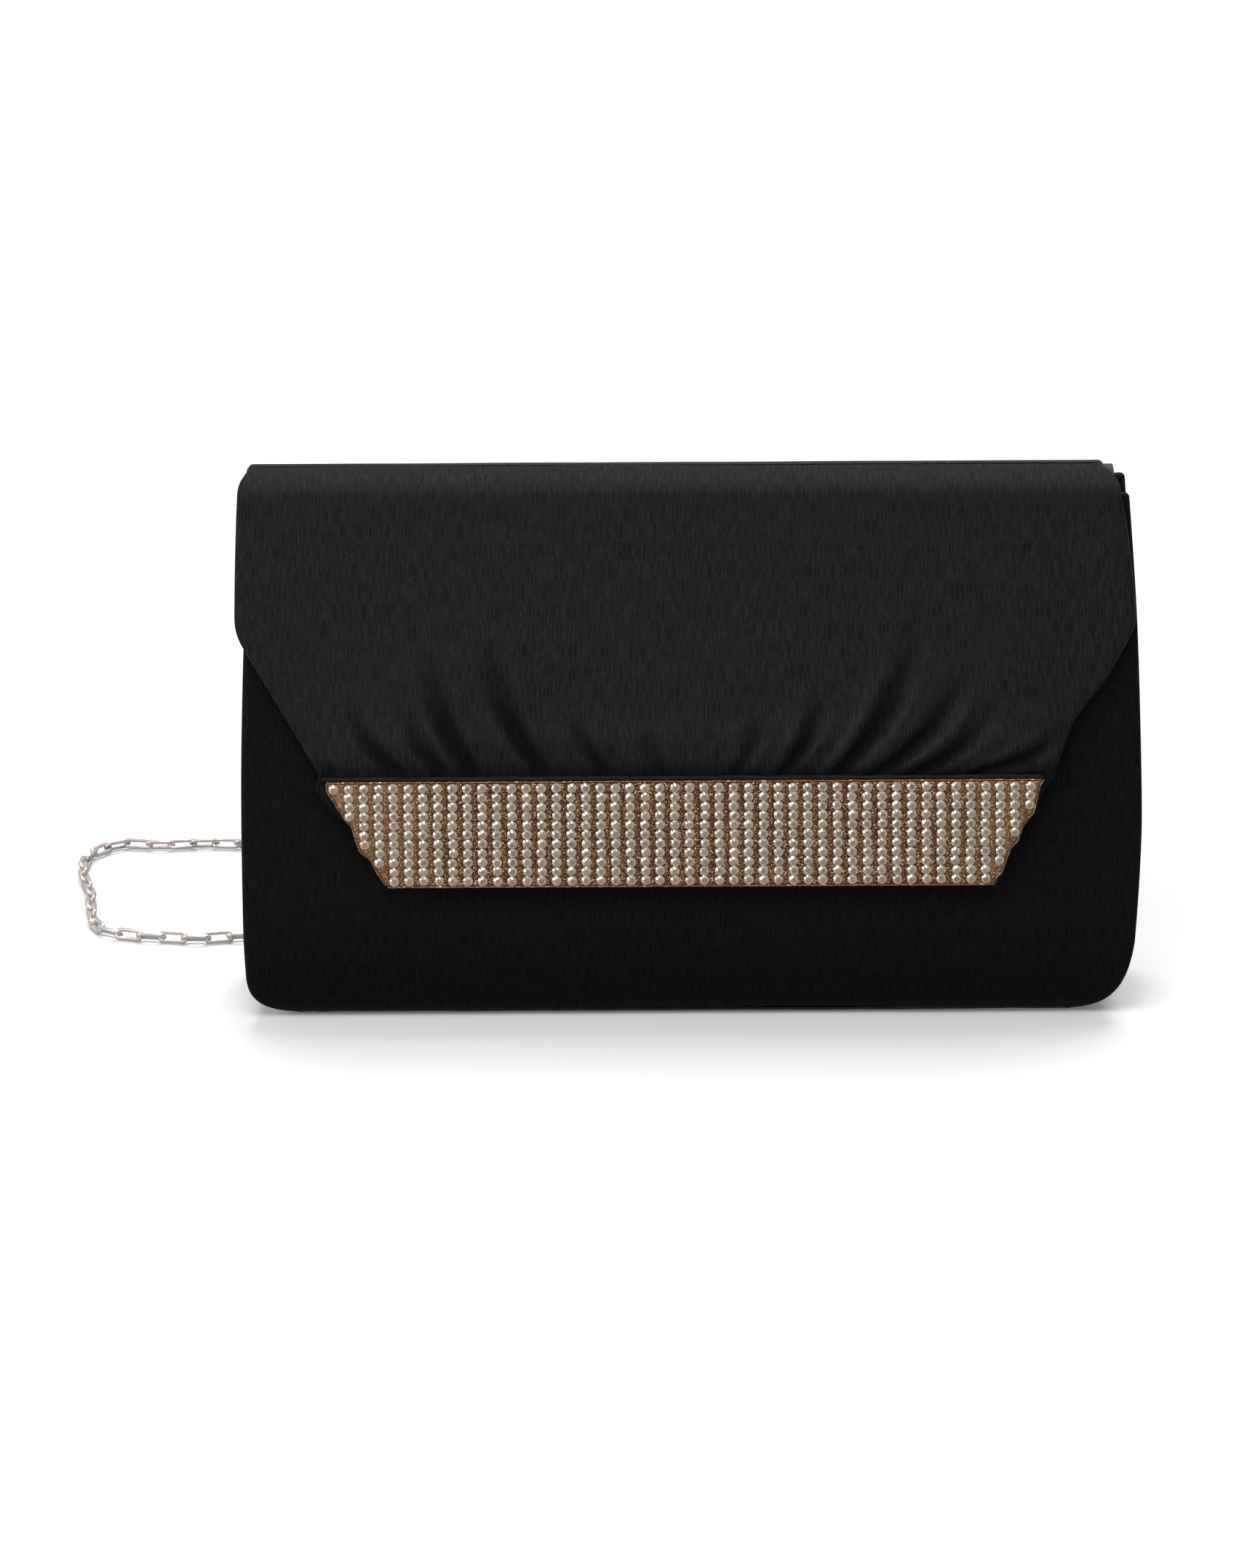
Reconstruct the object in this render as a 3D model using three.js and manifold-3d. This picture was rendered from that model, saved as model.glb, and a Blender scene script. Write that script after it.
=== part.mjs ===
// Evening bag: a slim satin flap bag with a crystal bar, a hidden magnetic snap and a detachable chain.
// Millimetres, +Z up. The bag stands on its base: the front faces -Y, +X is to the right as seen from
// the front, and the origin is the middle of the flat base, on the surface it stands on.
import * as THREE from 'three';
import { mergeVertices } from 'three/addons/utils/BufferGeometryUtils.js';
import Module from 'manifold-3d';

// ---- Driving dimensions -------------------------------------------------------------------------
const BASE_HALF = 14; // half the depth of the flat base
const BELLY = { y: 25, z: 32 }; // where the straight walls end and the rounded bottom begins
const LIP = { y: 12, z: 148.2 }; // outer top edge of both walls
const SATIN = 0.8; // satin with its glued interfacing
const BOARD = 1.5; // stiffening board of the body
const FLAP_BOARD = 1.2;
const LINING = 0.6;
const GAP = 0.3; // clearance between touching layers
const SEAM_GAP = 0.9; // between the front panel and the wrapped base, at the bottom fold

const HINGE_Z = 149; // height of both flap folds
const BACK_FOLD_Y = 8.5; // fold between the back wall and the top strip
const FRONT_FOLD_Y = -13.2; // fold between the top strip and the flap
const FLAP_DEPTH_AT_SNAP = 3.4; // how far the flap's lining stands off the front panel at the snap
const SNAP_Z = 55.4; // height of the snap on the front panel

const BAR = { top: -79.3, bottom: -109.1, topLeft: -100.4, topRight: 97.6, bottomLeft: -83.6, bottomRight: 85 };
const STONE_PITCH = { x: 4.04, y: 2.6 };
const STONE_ROWS = 11;

const HARDWARE_X = 104; // distance of each strap ring from the middle
const RING_AXIS = { z: 134.5, off: 2 }; // height and stand-off of the strap ring's pivot at the back
const RING_WIRE = 0.7;
const RING_DROP = 8; // from the ring's pivot to its lowest point
const RING_LEAN = THREE.MathUtils.degToRad(21); // the ring rests on the clasp, leaning off the back
const CLASP = { inner: 3.2, outer: 4.8, eye: 1.2, eyeRim: 2.3, length: 13.5, thick: 2.6 };
const JUMP_RING = { radius: 2.4, wire: 0.55 };

const CHAIN_RADIUS = 1.9;
const CHAIN_STEP = 10; // about two and a half chain diameters
const COIL = { x: 12, y: 76, inner: 16.4, pitch: 3.9, turns: 2 };

// ---- Finishes -----------------------------------------------------------------------------------
const finish = (color, roughness, metalness = 0) => () =>
  new THREE.MeshStandardMaterial({ color, roughness, metalness });
const satin = finish(0x1d1d1f, 0.55);
const liningCloth = finish(0x17171a, 0.7);
const board = finish(0x6f675c, 0.9);
const wadding = finish(0xd8d4cc, 1);
const glitter = finish(0x7a4c2b, 0.45, 0.4);
const crystal = finish(0xd8ccb8, 0.08);
const antiqueGold = finish(0x8a6a3c, 0.35, 1);
const silver = finish(0xc9c2ba, 0.22, 1);
const snapMetal = finish(0xb9b6b0, 0.3, 1);
const magnet = finish(0x4a4a4d, 0.45, 0.8);

// ---- Joining and cutting ------------------------------------------------------------------------
const wasm = await Module();
wasm.setup();

/** The solid of a closed geometry. */
function solidOf(geometry) {
  const bare = geometry.clone();
  bare.deleteAttribute('normal');
  bare.deleteAttribute('uv');
  const merged = mergeVertices(bare.index ? bare.toNonIndexed() : bare, 1e-4);
  return new wasm.Manifold(new wasm.Mesh({
    numProp: 3,
    vertProperties: new Float32Array(merged.attributes.position.array),
    triVerts: new Uint32Array(merged.index.array),
  }));
}

/** The geometry of a solid. */
function geometryOf(solid) {
  const mesh = solid.getMesh();
  const geometry = new THREE.BufferGeometry();
  geometry.setAttribute('position', new THREE.BufferAttribute(new Float32Array(mesh.vertProperties), 3));
  geometry.setIndex(new THREE.BufferAttribute(new Uint32Array(mesh.triVerts), 1));
  geometry.computeVertexNormals();
  return geometry;
}

const common = (...parts) => geometryOf(parts.map(solidOf).reduce((a, b) => a.intersect(b)));
const joined = (...parts) => geometryOf(parts.map(solidOf).reduce((a, b) => a.add(b)));
const cutFrom = (body, ...tools) => geometryOf(tools.map(solidOf).reduce((a, b) => a.subtract(b), solidOf(body)));

// ---- Placing flat shapes ------------------------------------------------------------------------
const X = new THREE.Vector3(1, 0, 0);
const Y = new THREE.Vector3(0, 1, 0);
const Z = new THREE.Vector3(0, 0, 1);

/** Points given as [a, b] pairs made into an outline. */
const outlineOf = (pairs) => new THREE.Shape(pairs.map(([a, b]) => new THREE.Vector2(a, b)));

/** A flat shape made into a plate between two heights of its own normal. */
function plate(shape, low, high, curveSegments = 6) {
  const geometry = new THREE.ExtrudeGeometry(shape, { depth: high - low, bevelEnabled: false, curveSegments });
  return geometry.translate(0, 0, low);
}

/** A section drawn in (y, z), drawn out along X. */
const alongX = (shape, x0, x1, curveSegments) =>
  plate(shape, x0, x1, curveSegments).applyMatrix4(new THREE.Matrix4().makeBasis(Y, Z, X));

/** An outline drawn in (x, z), drawn out along Y. */
const alongY = (shape, y0, y1, curveSegments) =>
  plate(shape, -y1, -y0, curveSegments)
    .applyMatrix4(new THREE.Matrix4().makeBasis(X, Z, Y.clone().negate()));

/** A straight round bar along X, centred on a point. */
function barX(radius, length, x = 0, y = 0, z = 0, sides = 12) {
  return new THREE.CylinderGeometry(radius, radius, length, sides).rotateZ(Math.PI / 2).translate(x, y, z);
}

/** A box given by its corners. */
function boxBetween([x0, y0, z0], [x1, y1, z1]) {
  return new THREE.BoxGeometry(x1 - x0, y1 - y0, z1 - z0)
    .translate((x0 + x1) / 2, (y0 + y1) / 2, (z0 + z1) / 2);
}

const bag = new THREE.Group();

/** Adds one named piece to a group. */
function piece(name, geometry, makeMaterial, parent = bag) {
  const mesh = new THREE.Mesh(geometry, makeMaterial());
  mesh.name = name;
  parent.add(mesh);
  return mesh;
}

/** A group whose local X and Y lie along two given directions. */
function tiltedGroup(origin, xAxis, yAxis) {
  const group = new THREE.Group();
  group.applyMatrix4(new THREE.Matrix4().makeBasis(xAxis, yAxis, xAxis.clone().cross(yAxis)));
  group.position.copy(origin);
  bag.add(group);
  return group;
}

// ---- The wall section: back lip, round the base, front lip --------------------------------------
const SLOPE = (BELLY.y - LIP.y) / (LIP.z - BELLY.z);
const WALL_TILT = Math.atan(SLOPE);
const wallY = (z) => BELLY.y - SLOPE * (z - BELLY.z);

/** Curves of the outer section in (y, z), from the back lip to the front lip. */
function sectionCurves() {
  const down = new THREE.Vector2(Math.sin(WALL_TILT), -Math.cos(WALL_TILT)).multiplyScalar(13);
  const half = [
    new THREE.Vector2(LIP.y, LIP.z),
    new THREE.Vector2(BELLY.y, BELLY.z),
    new THREE.Vector2(BELLY.y + down.x, BELLY.z + down.y),
    new THREE.Vector2(BASE_HALF + 9, 0),
    new THREE.Vector2(BASE_HALF, 0),
  ];
  const other = half.map((p) => new THREE.Vector2(-p.x, p.y));
  return [
    new THREE.LineCurve(half[0], half[1]),
    new THREE.CubicBezierCurve(half[1], half[2], half[3], half[4]),
    new THREE.LineCurve(half[4], other[4]),
    new THREE.CubicBezierCurve(other[4], other[3], other[2], other[1]),
    new THREE.LineCurve(other[1], other[0]),
  ];
}

/** Outer section samples: { point, inward, at } with at the distance from the back lip. */
function sectionSamples() {
  const samples = [];
  let start = 0;
  for (const curve of sectionCurves()) {
    const steps = curve.isLineCurve ? 1 : 10;
    const length = curve.getLength();
    for (let i = samples.length ? 1 : 0; i <= steps; i += 1) {
      const tangent = curve.getTangentAt(i / steps);
      samples.push({
        point: curve.getPointAt(i / steps),
        inward: new THREE.Vector2(tangent.y, -tangent.x),
        at: start + (length * i) / steps,
      });
    }
    start += length;
  }
  return samples;
}

const SECTION = sectionSamples();
const SECTION_LENGTH = SECTION.at(-1).at;
const WALL_LENGTH = SECTION[1].at;

/** The section point at a distance from the back lip, moved inwards by an inset. */
function sectionPoint(at, inset) {
  const i = Math.max(1, SECTION.findIndex((s) => s.at >= at - 1e-6));
  const [a, b] = [SECTION[i - 1], SECTION[i]];
  const t = (at - a.at) / (b.at - a.at);
  return a.point.clone().lerp(b.point, t).addScaledVector(a.inward.clone().lerp(b.inward, t), inset);
}

/** A layer of the wall between two insets and two distances from the back lip, as a section shape. */
function layerSection(outer, inner, from, to) {
  const stops = [from, ...SECTION.map((s) => s.at).filter((at) => at > from + 0.5 && at < to - 0.5), to];
  const outside = stops.map((at) => sectionPoint(at, outer));
  const inside = stops.map((at) => sectionPoint(at, inner)).reverse();
  return new THREE.Shape([...outside, ...inside]);
}

/** Everything inside the wall at one inset, closed across the mouth. */
const hollowSection = (inset) => new THREE.Shape(SECTION.map((s) => sectionPoint(s.at, inset)));

/** The bag's outline seen from the front, moved inwards by an inset, with its foot at a height. */
function bodyOutline(inset, foot) {
  const side = (pairs, sign) => pairs.map(([x, z]) => new THREE.Vector2(x - sign * inset, z));
  const left = side([[-119.6, 152], [-121.9, 118], [-123.2, 72], [-123.1, 30], [-122.6, 12]], -1);
  const right = side([[121.3, 24], [123.3, 46], [123.6, 66], [122.4, 112], [119.8, 152]], 1);
  const shape = new THREE.Shape();
  shape.moveTo(left[0].x, left[0].y);
  shape.splineThru(left.slice(1));
  shape.bezierCurveTo(-122.2 + inset, 4 + foot / 2, -118.5 + inset / 2, foot, -111, foot);
  shape.lineTo(102, foot);
  shape.bezierCurveTo(112 - inset / 2, foot, 119.4 - inset, 9 + foot / 2, right[0].x, right[0].y);
  shape.splineThru(right.slice(1));
  shape.closePath();
  return shape;
}

const bodyPrism = (inset, foot = inset) => alongY(bodyOutline(inset, foot), -40, 40, 8);

/** One wall layer, trimmed to the bag's outline. */
function wallLayer(outer, thickness, from, to, edgeInset) {
  const layer = alongX(layerSection(outer, outer + thickness, from, to), -130, 130);
  return common(layer, bodyPrism(edgeInset, outer - 0.05));
}

const BOARD_AT = SATIN + GAP;
const LINING_AT = BOARD_AT + BOARD + GAP;
const WALL = LINING_AT + LINING; // whole thickness of the wall
const FRONT_SEAM = SECTION_LENGTH - WALL_LENGTH - 23; // the front panel starts in the bottom curve
const BOARD_EDGE = 1.2; // boards stop this far inside the outline

// ---- Body: wrapped back and base -----------------------------------------------------------------
function makeBody() {
  piece('back_cover', wallLayer(0, SATIN, 0, FRONT_SEAM, 0), satin);
  piece('back_board', wallLayer(BOARD_AT, BOARD, 3, WALL_LENGTH + 4, BOARD_EDGE), board);
  const base = [WALL_LENGTH + 14, FRONT_SEAM - 4];
  piece('base_board', wallLayer(BOARD_AT, BOARD, base[0], base[1], 4), board);
  piece('back_lining', wallLayer(LINING_AT, LINING, 1, FRONT_SEAM - 1, BOARD_EDGE), liningCloth);
  const pocketBand = alongX(layerSection(WALL + GAP, WALL + GAP + LINING, 32, 98), -62, 62);
  piece('slip_pocket', pocketBand, liningCloth);
}

// ---- Front panel, which tips forward as the mouth opens -------------------------------------------
function makeFrontPanel() {
  const from = FRONT_SEAM + SEAM_GAP;
  piece('front_cover', wallLayer(0, SATIN, from, SECTION_LENGTH, 0), satin);
  const washerHole = snapHole(WASHER.hole);
  const boardPlate = wallLayer(BOARD_AT, BOARD, from + 3, SECTION_LENGTH - 3, BOARD_EDGE);
  piece('front_board', cutFrom(boardPlate, washerHole), board);
  piece('front_lining', wallLayer(LINING_AT, LINING, from + 1, SECTION_LENGTH - 1, BOARD_EDGE), liningCloth);
}

// ---- Gussets: one folding satin side wall at each end, with its lining ----------------------------
function makeGussets() {
  const hollow = alongX(hollowSection(WALL + GAP), -130, 130);
  const layers = [['gusset', 1.2, 2, satin], ['gusset_lining', 2.3, 2.8, liningCloth]];
  for (const [side, x0, x1] of [['left', -130, -60], ['right', 60, 130]]) {
    for (const [name, outer, inner, cloth] of layers) {
      const band = cutFrom(bodyPrism(outer), bodyPrism(inner));
      const half = boxBetween([x0, -30, 1], [x1, 30, LIP.z - 1.5]);
      piece(`${side}_${name}`, common(band, hollow, half), cloth);
    }
  }
}

// ---- Snap ------------------------------------------------------------------------------------------
const WASHER = { radius: 8, hole: 8.4, thick: 0.7 };
const SNAP = { radius: 9, stud: 3.2, recess: 4.1, face: 1.9 };
const FRONT_NORMAL = new THREE.Vector3(0, -Math.cos(WALL_TILT), Math.sin(WALL_TILT));
const FRONT_UP = new THREE.Vector3(0, Math.sin(WALL_TILT), Math.cos(WALL_TILT));

/** A closed turned piece from (radius, height) pairs, with its axis along local Z. */
function turned(pairs, segments = 24) {
  const profile = pairs.map(([r, h]) => new THREE.Vector2(r, h));
  return new THREE.LatheGeometry([...profile, profile[0].clone()], segments).rotateX(Math.PI / 2);
}

/** A round tool through the front board at the snap. */
function snapHole(radius) {
  const tool = new THREE.CylinderGeometry(radius, radius, 20, 32).rotateX(Math.PI / 2);
  tool.applyMatrix4(new THREE.Matrix4().makeBasis(X, FRONT_UP, FRONT_NORMAL));
  return tool.translate(0, -wallY(SNAP_Z), SNAP_Z);
}

function makeSocket() {
  const seat = tiltedGroup(new THREE.Vector3(0, -wallY(SNAP_Z), SNAP_Z), X, FRONT_UP);
  const { radius, recess, face } = SNAP;
  const shell = [
    [0, GAP], [recess + 0.4, GAP], [recess + 0.4, face - 0.4], [radius - 0.5, face - 0.4],
    [radius - 0.5, GAP], [radius, GAP], [radius, face - 0.3], [radius - 0.3, face], [recess, face],
    [recess, GAP + 0.3], [0, GAP + 0.3],
  ];
  piece('snap_socket', turnedToAxis(shell), snapMetal, seat);
  const [m0, m1] = [recess + 0.7, radius - 0.8];
  piece('snap_magnet', turned([[m0, GAP], [m1, GAP], [m1, face - 0.7], [m0, face - 0.7]]), magnet, seat);
  const low = -(BOARD_AT + 1.1);
  const ring = [[1.5, low], [WASHER.radius, low], [WASHER.radius, low + WASHER.thick], [1.5, low + WASHER.thick]];
  piece('snap_socket_washer', turned(ring), snapMetal, seat);
}

/** A closed turned piece whose profile starts and ends on the axis. */
function turnedToAxis(pairs, segments = 24) {
  return new THREE.LatheGeometry(pairs.map(([r, h]) => new THREE.Vector2(r, h)), segments).rotateX(Math.PI / 2);
}

// ---- Flap ------------------------------------------------------------------------------------------
// Drawn flat: x to the right, y up from the front fold, z outwards from the lining's inner face.
const SNAP_DROP = HINGE_Z - SNAP_Z;
const FLAP_TILT = Math.atan((wallY(SNAP_Z) + FLAP_DEPTH_AT_SNAP + FRONT_FOLD_Y) / SNAP_DROP);
const FLAP_UP = new THREE.Vector3(0, Math.sin(FLAP_TILT), Math.cos(FLAP_TILT));
const FLAP_BOARD_AT = LINING + GAP;
const FLAP_COVER_AT = FLAP_BOARD_AT + FLAP_BOARD + GAP;
const FLAP_FACE = FLAP_COVER_AT + SATIN;
const FOLD_CLEAR = 0.5; // every layer stops this far from a fold's axis

/** The flap's outline, from the front fold to the foot of the crystal bar, moved inwards by an inset. */
function flapOutline(inset) {
  const shape = new THREE.Shape();
  const top = -FOLD_CLEAR - inset;
  const foot = BAR.bottom + inset;
  shape.moveTo(-123.6 + inset, top);
  shape.quadraticCurveTo(-124.6 + inset, -20, -124.8 + inset, -34);
  shape.quadraticCurveTo(-124.8 + inset, -38.5, -122.2 + inset, -42.6);
  shape.lineTo(BAR.topLeft + inset, -79.7);
  shape.lineTo(BAR.bottomLeft + inset, foot);
  shape.lineTo(BAR.bottomRight - inset, foot);
  shape.lineTo(BAR.topRight + 1.2 - inset, BAR.top);
  shape.splineThru([
    new THREE.Vector2(105.6 - inset, -63.3),
    new THREE.Vector2(114.2 - inset, -51.8),
    new THREE.Vector2(121.4 - inset, -38.6),
  ]);
  shape.quadraticCurveTo(122.6 - inset, -36, 122 - inset, -31);
  shape.quadraticCurveTo(120.6 - inset, -12, 118 - inset, top);
  shape.closePath();
  return shape;
}

/** The crystal bar's outline, moved inwards by an inset. */
function barOutline(inset) {
  const [top, bottom] = [BAR.top - inset, BAR.bottom + inset];
  return outlineOf([
    [BAR.topLeft + inset, top], [BAR.bottomLeft + inset, bottom],
    [BAR.bottomRight - inset, bottom], [BAR.topRight - inset, top],
  ]);
}

/** The stones' own area: columns as tall as fit between the bar's slanting ends. */
function stoneField() {
  const halfWidth = (STONE_PITCH.x - 0.04) / 2;
  const top = BAR.top - 0.6;
  const left = (drop) => THREE.MathUtils.lerp(BAR.topLeft, BAR.bottomLeft, drop / (BAR.top - BAR.bottom));
  const right = (drop) => THREE.MathUtils.lerp(BAR.topRight, BAR.bottomRight, drop / (BAR.top - BAR.bottom));
  const columns = [];
  for (let x = BAR.topLeft + 2.6; x < BAR.topRight - 2; x += STONE_PITCH.x) {
    let rows = 0;
    const fits = (n) => x - halfWidth > left(n * STONE_PITCH.y) - 0.9 && x + halfWidth < right(n * STONE_PITCH.y) + 0.9;
    while (rows < STONE_ROWS && fits(rows + 1)) rows += 1;
    if (rows > 0) columns.push({ x, foot: top - rows * STONE_PITCH.y });
  }
  const feet = columns.flatMap(({ x, foot }) => [[x - STONE_PITCH.x / 2, foot], [x + STONE_PITCH.x / 2, foot]]);
  return outlineOf([[feet[0][0], top], ...feet, [feet.at(-1)[0], top]]);
}

/** A strip along the top or the foot of the bar. */
function barTrim(left, right, low, high) {
  return plate(outlineOf([[left, low], [right, low], [right, high], [left, high]]), FLAP_FACE + GAP, FLAP_FACE + 1.6);
}

function makeFlap() {
  const flap = tiltedGroup(new THREE.Vector3(0, FRONT_FOLD_Y, HINGE_Z), X, FLAP_UP);
  piece('flap_lining', plate(flapOutline(1.2), 0, LINING), liningCloth, flap);
  const studY = -SNAP_DROP / Math.cos(FLAP_TILT);
  const washerHole = new THREE.CylinderGeometry(WASHER.hole, WASHER.hole, 20, 32).rotateX(Math.PI / 2);
  washerHole.translate(0, studY, 0);
  const boardPlate = plate(flapOutline(1.6), FLAP_BOARD_AT, FLAP_BOARD_AT + FLAP_BOARD);
  piece('flap_board', cutFrom(boardPlate, washerHole), board, flap);
  piece('flap_cover', plate(flapOutline(0), FLAP_COVER_AT, FLAP_FACE), satin, flap);

  const low = FLAP_BOARD_AT + 0.2;
  const washer = [[1.5, low], [WASHER.radius, low], [WASHER.radius, low + WASHER.thick], [1.5, low + WASHER.thick]];
  piece('snap_stud_washer', turned(washer).translate(0, studY, 0), snapMetal, flap);
  const stud = [
    [0, -GAP], [SNAP.radius, -GAP], [SNAP.radius, -0.8], [SNAP.radius - 0.3, -1], [SNAP.stud, -1],
    [SNAP.stud, -2.1], [SNAP.stud - 0.3, -2.4], [0, -2.4],
  ];
  piece('snap_stud', turnedToAxis(stud.reverse()).translate(0, studY, 0), snapMetal, flap);

  piece('bar_backing', plate(barOutline(0.9), FLAP_FACE + GAP, FLAP_FACE + 0.9), glitter, flap);
  piece('crystal_field', plate(stoneField(), FLAP_FACE + 1.2, FLAP_FACE + 2.8), crystal, flap);
  piece('bar_top_trim', barTrim(BAR.topLeft, BAR.topRight, BAR.top - 0.55, BAR.top + 0.35), antiqueGold, flap);
  const foot = [BAR.bottomLeft, BAR.bottomRight, BAR.bottom - 0.35, BAR.bottom + 0.55];
  piece('bar_foot_trim', barTrim(...foot), antiqueGold, flap);
}

// ---- Top strip between the two folds --------------------------------------------------------------
function makeTopStrip() {
  const [y0, y1] = [FRONT_FOLD_Y + FOLD_CLEAR, BACK_FOLD_Y - FOLD_CLEAR];
  const [x0, x1] = [-123, 118];
  const strip = (low, high) => outlineOf([[y0, low], [y1, low], [y1, high], [y0, high]]);
  const low = HINGE_Z + GAP;
  piece('fold_lining', alongX(strip(low, low + LINING), x0 + 1, x1 - 1), liningCloth);
  const crown = (y, lift, rise) => lift + rise * (1 - ((2 * y - y0 - y1) / (y1 - y0)) ** 2);
  const ys = Array.from({ length: 9 }, (_, i) => THREE.MathUtils.lerp(y0, y1, i / 8));
  const arch = (bottom, top, bottomRise, topRise) => outlineOf([
    ...ys.map((y) => [y, crown(y, bottom, bottomRise)]),
    ...[...ys].reverse().map((y) => [y, crown(y, top, topRise)]),
  ]);
  const wadLow = low + LINING + GAP;
  piece('fold_wadding', alongX(arch(wadLow, wadLow + 0.4, 0, 2.6), x0 + 1.5, x1 - 1.5), wadding);
  const coverLow = wadLow + 0.4 + GAP;
  piece('fold_cover', alongX(arch(coverLow, coverLow + SATIN, 2.6, 2.6), x0, x1), satin);
}

// ---- Strap hardware --------------------------------------------------------------------------------
const BACK_UP = new THREE.Vector3(0, -Math.sin(WALL_TILT), Math.cos(WALL_TILT));
const BACK_OUT = new THREE.Vector3(0, Math.cos(WALL_TILT), Math.sin(WALL_TILT));

/** The strap ring's pivot, in the bag's frame. */
function ringPivot(x) {
  return new THREE.Vector3(x, wallY(RING_AXIS.z), RING_AXIS.z).addScaledVector(BACK_OUT, RING_AXIS.off);
}

/** The satin loop that holds a strap ring: a doubled strip with an eye at its foot. */
function ringTab() {
  const width = 8;
  const eye = barX(1.72, width, 0, 0, 0, 20);
  const ply = boxBetween([-width / 2, 0, -RING_AXIS.off + GAP], [width / 2, 11, -RING_AXIS.off + GAP + 1.3]);
  return cutFrom(joined(eye, ply), barX(1.1, width + 2, 0, 0, 0, 20));
}

/** A D-shaped ring hanging down from its straight bar, which lies on the X axis. */
function strapRing() {
  const [half, leg] = [5.5, RING_DROP - 5.5];
  const ball = (x) => new THREE.SphereGeometry(RING_WIRE, 10, 6).translate(x, 0, 0);
  const side = (x) => new THREE.CylinderGeometry(RING_WIRE, RING_WIRE, leg + 0.1, 10).translate(x, -leg / 2, 0);
  const bow = new THREE.TorusGeometry(half, RING_WIRE, 8, 28).translate(0, -leg, 0);
  const below = boxBetween([-8, -12, -2], [8, -leg, 2]);
  return joined(common(bow, below), barX(RING_WIRE, 2 * half, 0, 0, 0, 10), ball(-half), ball(half), side(-half), side(half));
}

/** The clasp's body, drawn in (y, z) about the middle of its hook. */
function claspOutline() {
  const { inner, outer, eyeRim, eye, length } = CLASP;
  const shape = new THREE.Shape();
  const [tip, throat] = [THREE.MathUtils.degToRad(42), THREE.MathUtils.degToRad(292)];
  shape.absarc(0, 0, outer, tip, THREE.MathUtils.degToRad(235), false);
  shape.lineTo(-2.1, -8.5);
  shape.absarc(0, -length, eyeRim, THREE.MathUtils.degToRad(150), THREE.MathUtils.degToRad(390), false);
  shape.lineTo(3, -8);
  shape.lineTo(5.1, -5.6);
  shape.lineTo(5.1, -4.1);
  shape.lineTo(2.2, -4.1);
  shape.absarc(0, 0, inner, throat, tip, true);
  shape.closePath();
  const hole = new THREE.Path();
  hole.absarc(0, -length, eye, 0, 2 * Math.PI, true);
  shape.holes.push(hole);
  return shape;
}

const LEVER_PIVOT = { y: 4, z: -4.9 };

/** The sprung lever that closes the hook, drawn in (y, z) about the middle of the hook. */
function leverOutline() {
  return outlineOf([[3.2, -5.4], [4.8, -5.4], [4.95, -2], [4.75, 1.2], [4.2, 1.9], [3.5, 1.9], [3.75, 0], [3.4, -3.6]]);
}

function makeStrapHardware(side, x) {
  const pivot = ringPivot(x);
  const tab = tiltedGroup(pivot, X.clone().negate(), BACK_UP);
  piece(`${side}_ring_tab`, ringTab(), satin, tab);

  const hang = new THREE.Vector3(0, -Math.sin(RING_LEAN), Math.cos(RING_LEAN));
  const ring = tiltedGroup(pivot, X.clone().negate(), hang);
  piece(`${side}_strap_ring`, strapRing(), silver, ring);

  const lowest = pivot.clone().addScaledVector(hang, -RING_DROP);
  const hook = new THREE.Group();
  hook.position.set(x, lowest.y + 1.5, lowest.z - 1.6);
  bag.add(hook);
  const { thick, length } = CLASP;
  const pinHole = (radius) => barX(radius, thick + 2, 0, LEVER_PIVOT.y, LEVER_PIVOT.z);
  const slot = boxBetween([-0.8, 2.7, -6], [0.8, 6, -3.9]);
  const bodySolid = alongX(claspOutline(), -thick / 2, thick / 2, 10);
  piece(`${side}_clasp_body`, cutFrom(bodySolid, slot, pinHole(0.55)), silver, hook);
  const lever = cutFrom(alongX(leverOutline(), -0.5, 0.5), pinHole(0.55));
  piece(`${side}_clasp_lever`, lever, silver, hook);
  piece(`${side}_lever_pin`, barX(0.42, thick, 0, LEVER_PIVOT.y, LEVER_PIVOT.z), silver, hook);

  const link = new THREE.TorusGeometry(JUMP_RING.radius, JUMP_RING.wire, 8, 18).rotateX(Math.PI / 2);
  piece(`${side}_jump_ring`, link.translate(0, 0, -length - JUMP_RING.radius), silver, hook);
}

// ---- Chain -----------------------------------------------------------------------------------------
// From the left clasp down the back, out to the left in an open loop, and back behind the bag.
const LEFT_ROUTE = [
  [-104, 19.9, 106.2], [-104, 20.5, 95], [-104, 22.2, 80], [-104, 24.1, 62], [-104, 26.1, 45],
  [-104, 27.8, 30], [-104, 28.4, 18], [-104.6, 29.8, 9], [-106.6, 33.8, 3], [-110, 39.4, 1.9],
  [-117, 45, 1.9], [-128, 47, 1.9], [-140, 45, 1.9], [-153, 46.5, 1.9], [-163.5, 49.2, 1.9],
  [-171, 55.5, 1.9], [-174.2, 70, 1.9], [-175.8, 87, 1.9], [-179, 103, 1.9], [-179.6, 116, 1.9],
  [-176.4, 127, 1.9], [-169.5, 133.6, 1.9], [-158, 132.6, 1.9], [-146, 134, 1.9], [-133, 133.4, 1.9],
  [-118, 132, 1.9], [-100, 126, 1.9], [-82, 114, 1.9], [-64, 96, 1.9], [-47, 76, 1.9],
  [-30, 59, 1.9], [-16, 52.6, 1.9], [-3, 51.7, 1.9],
];
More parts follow.
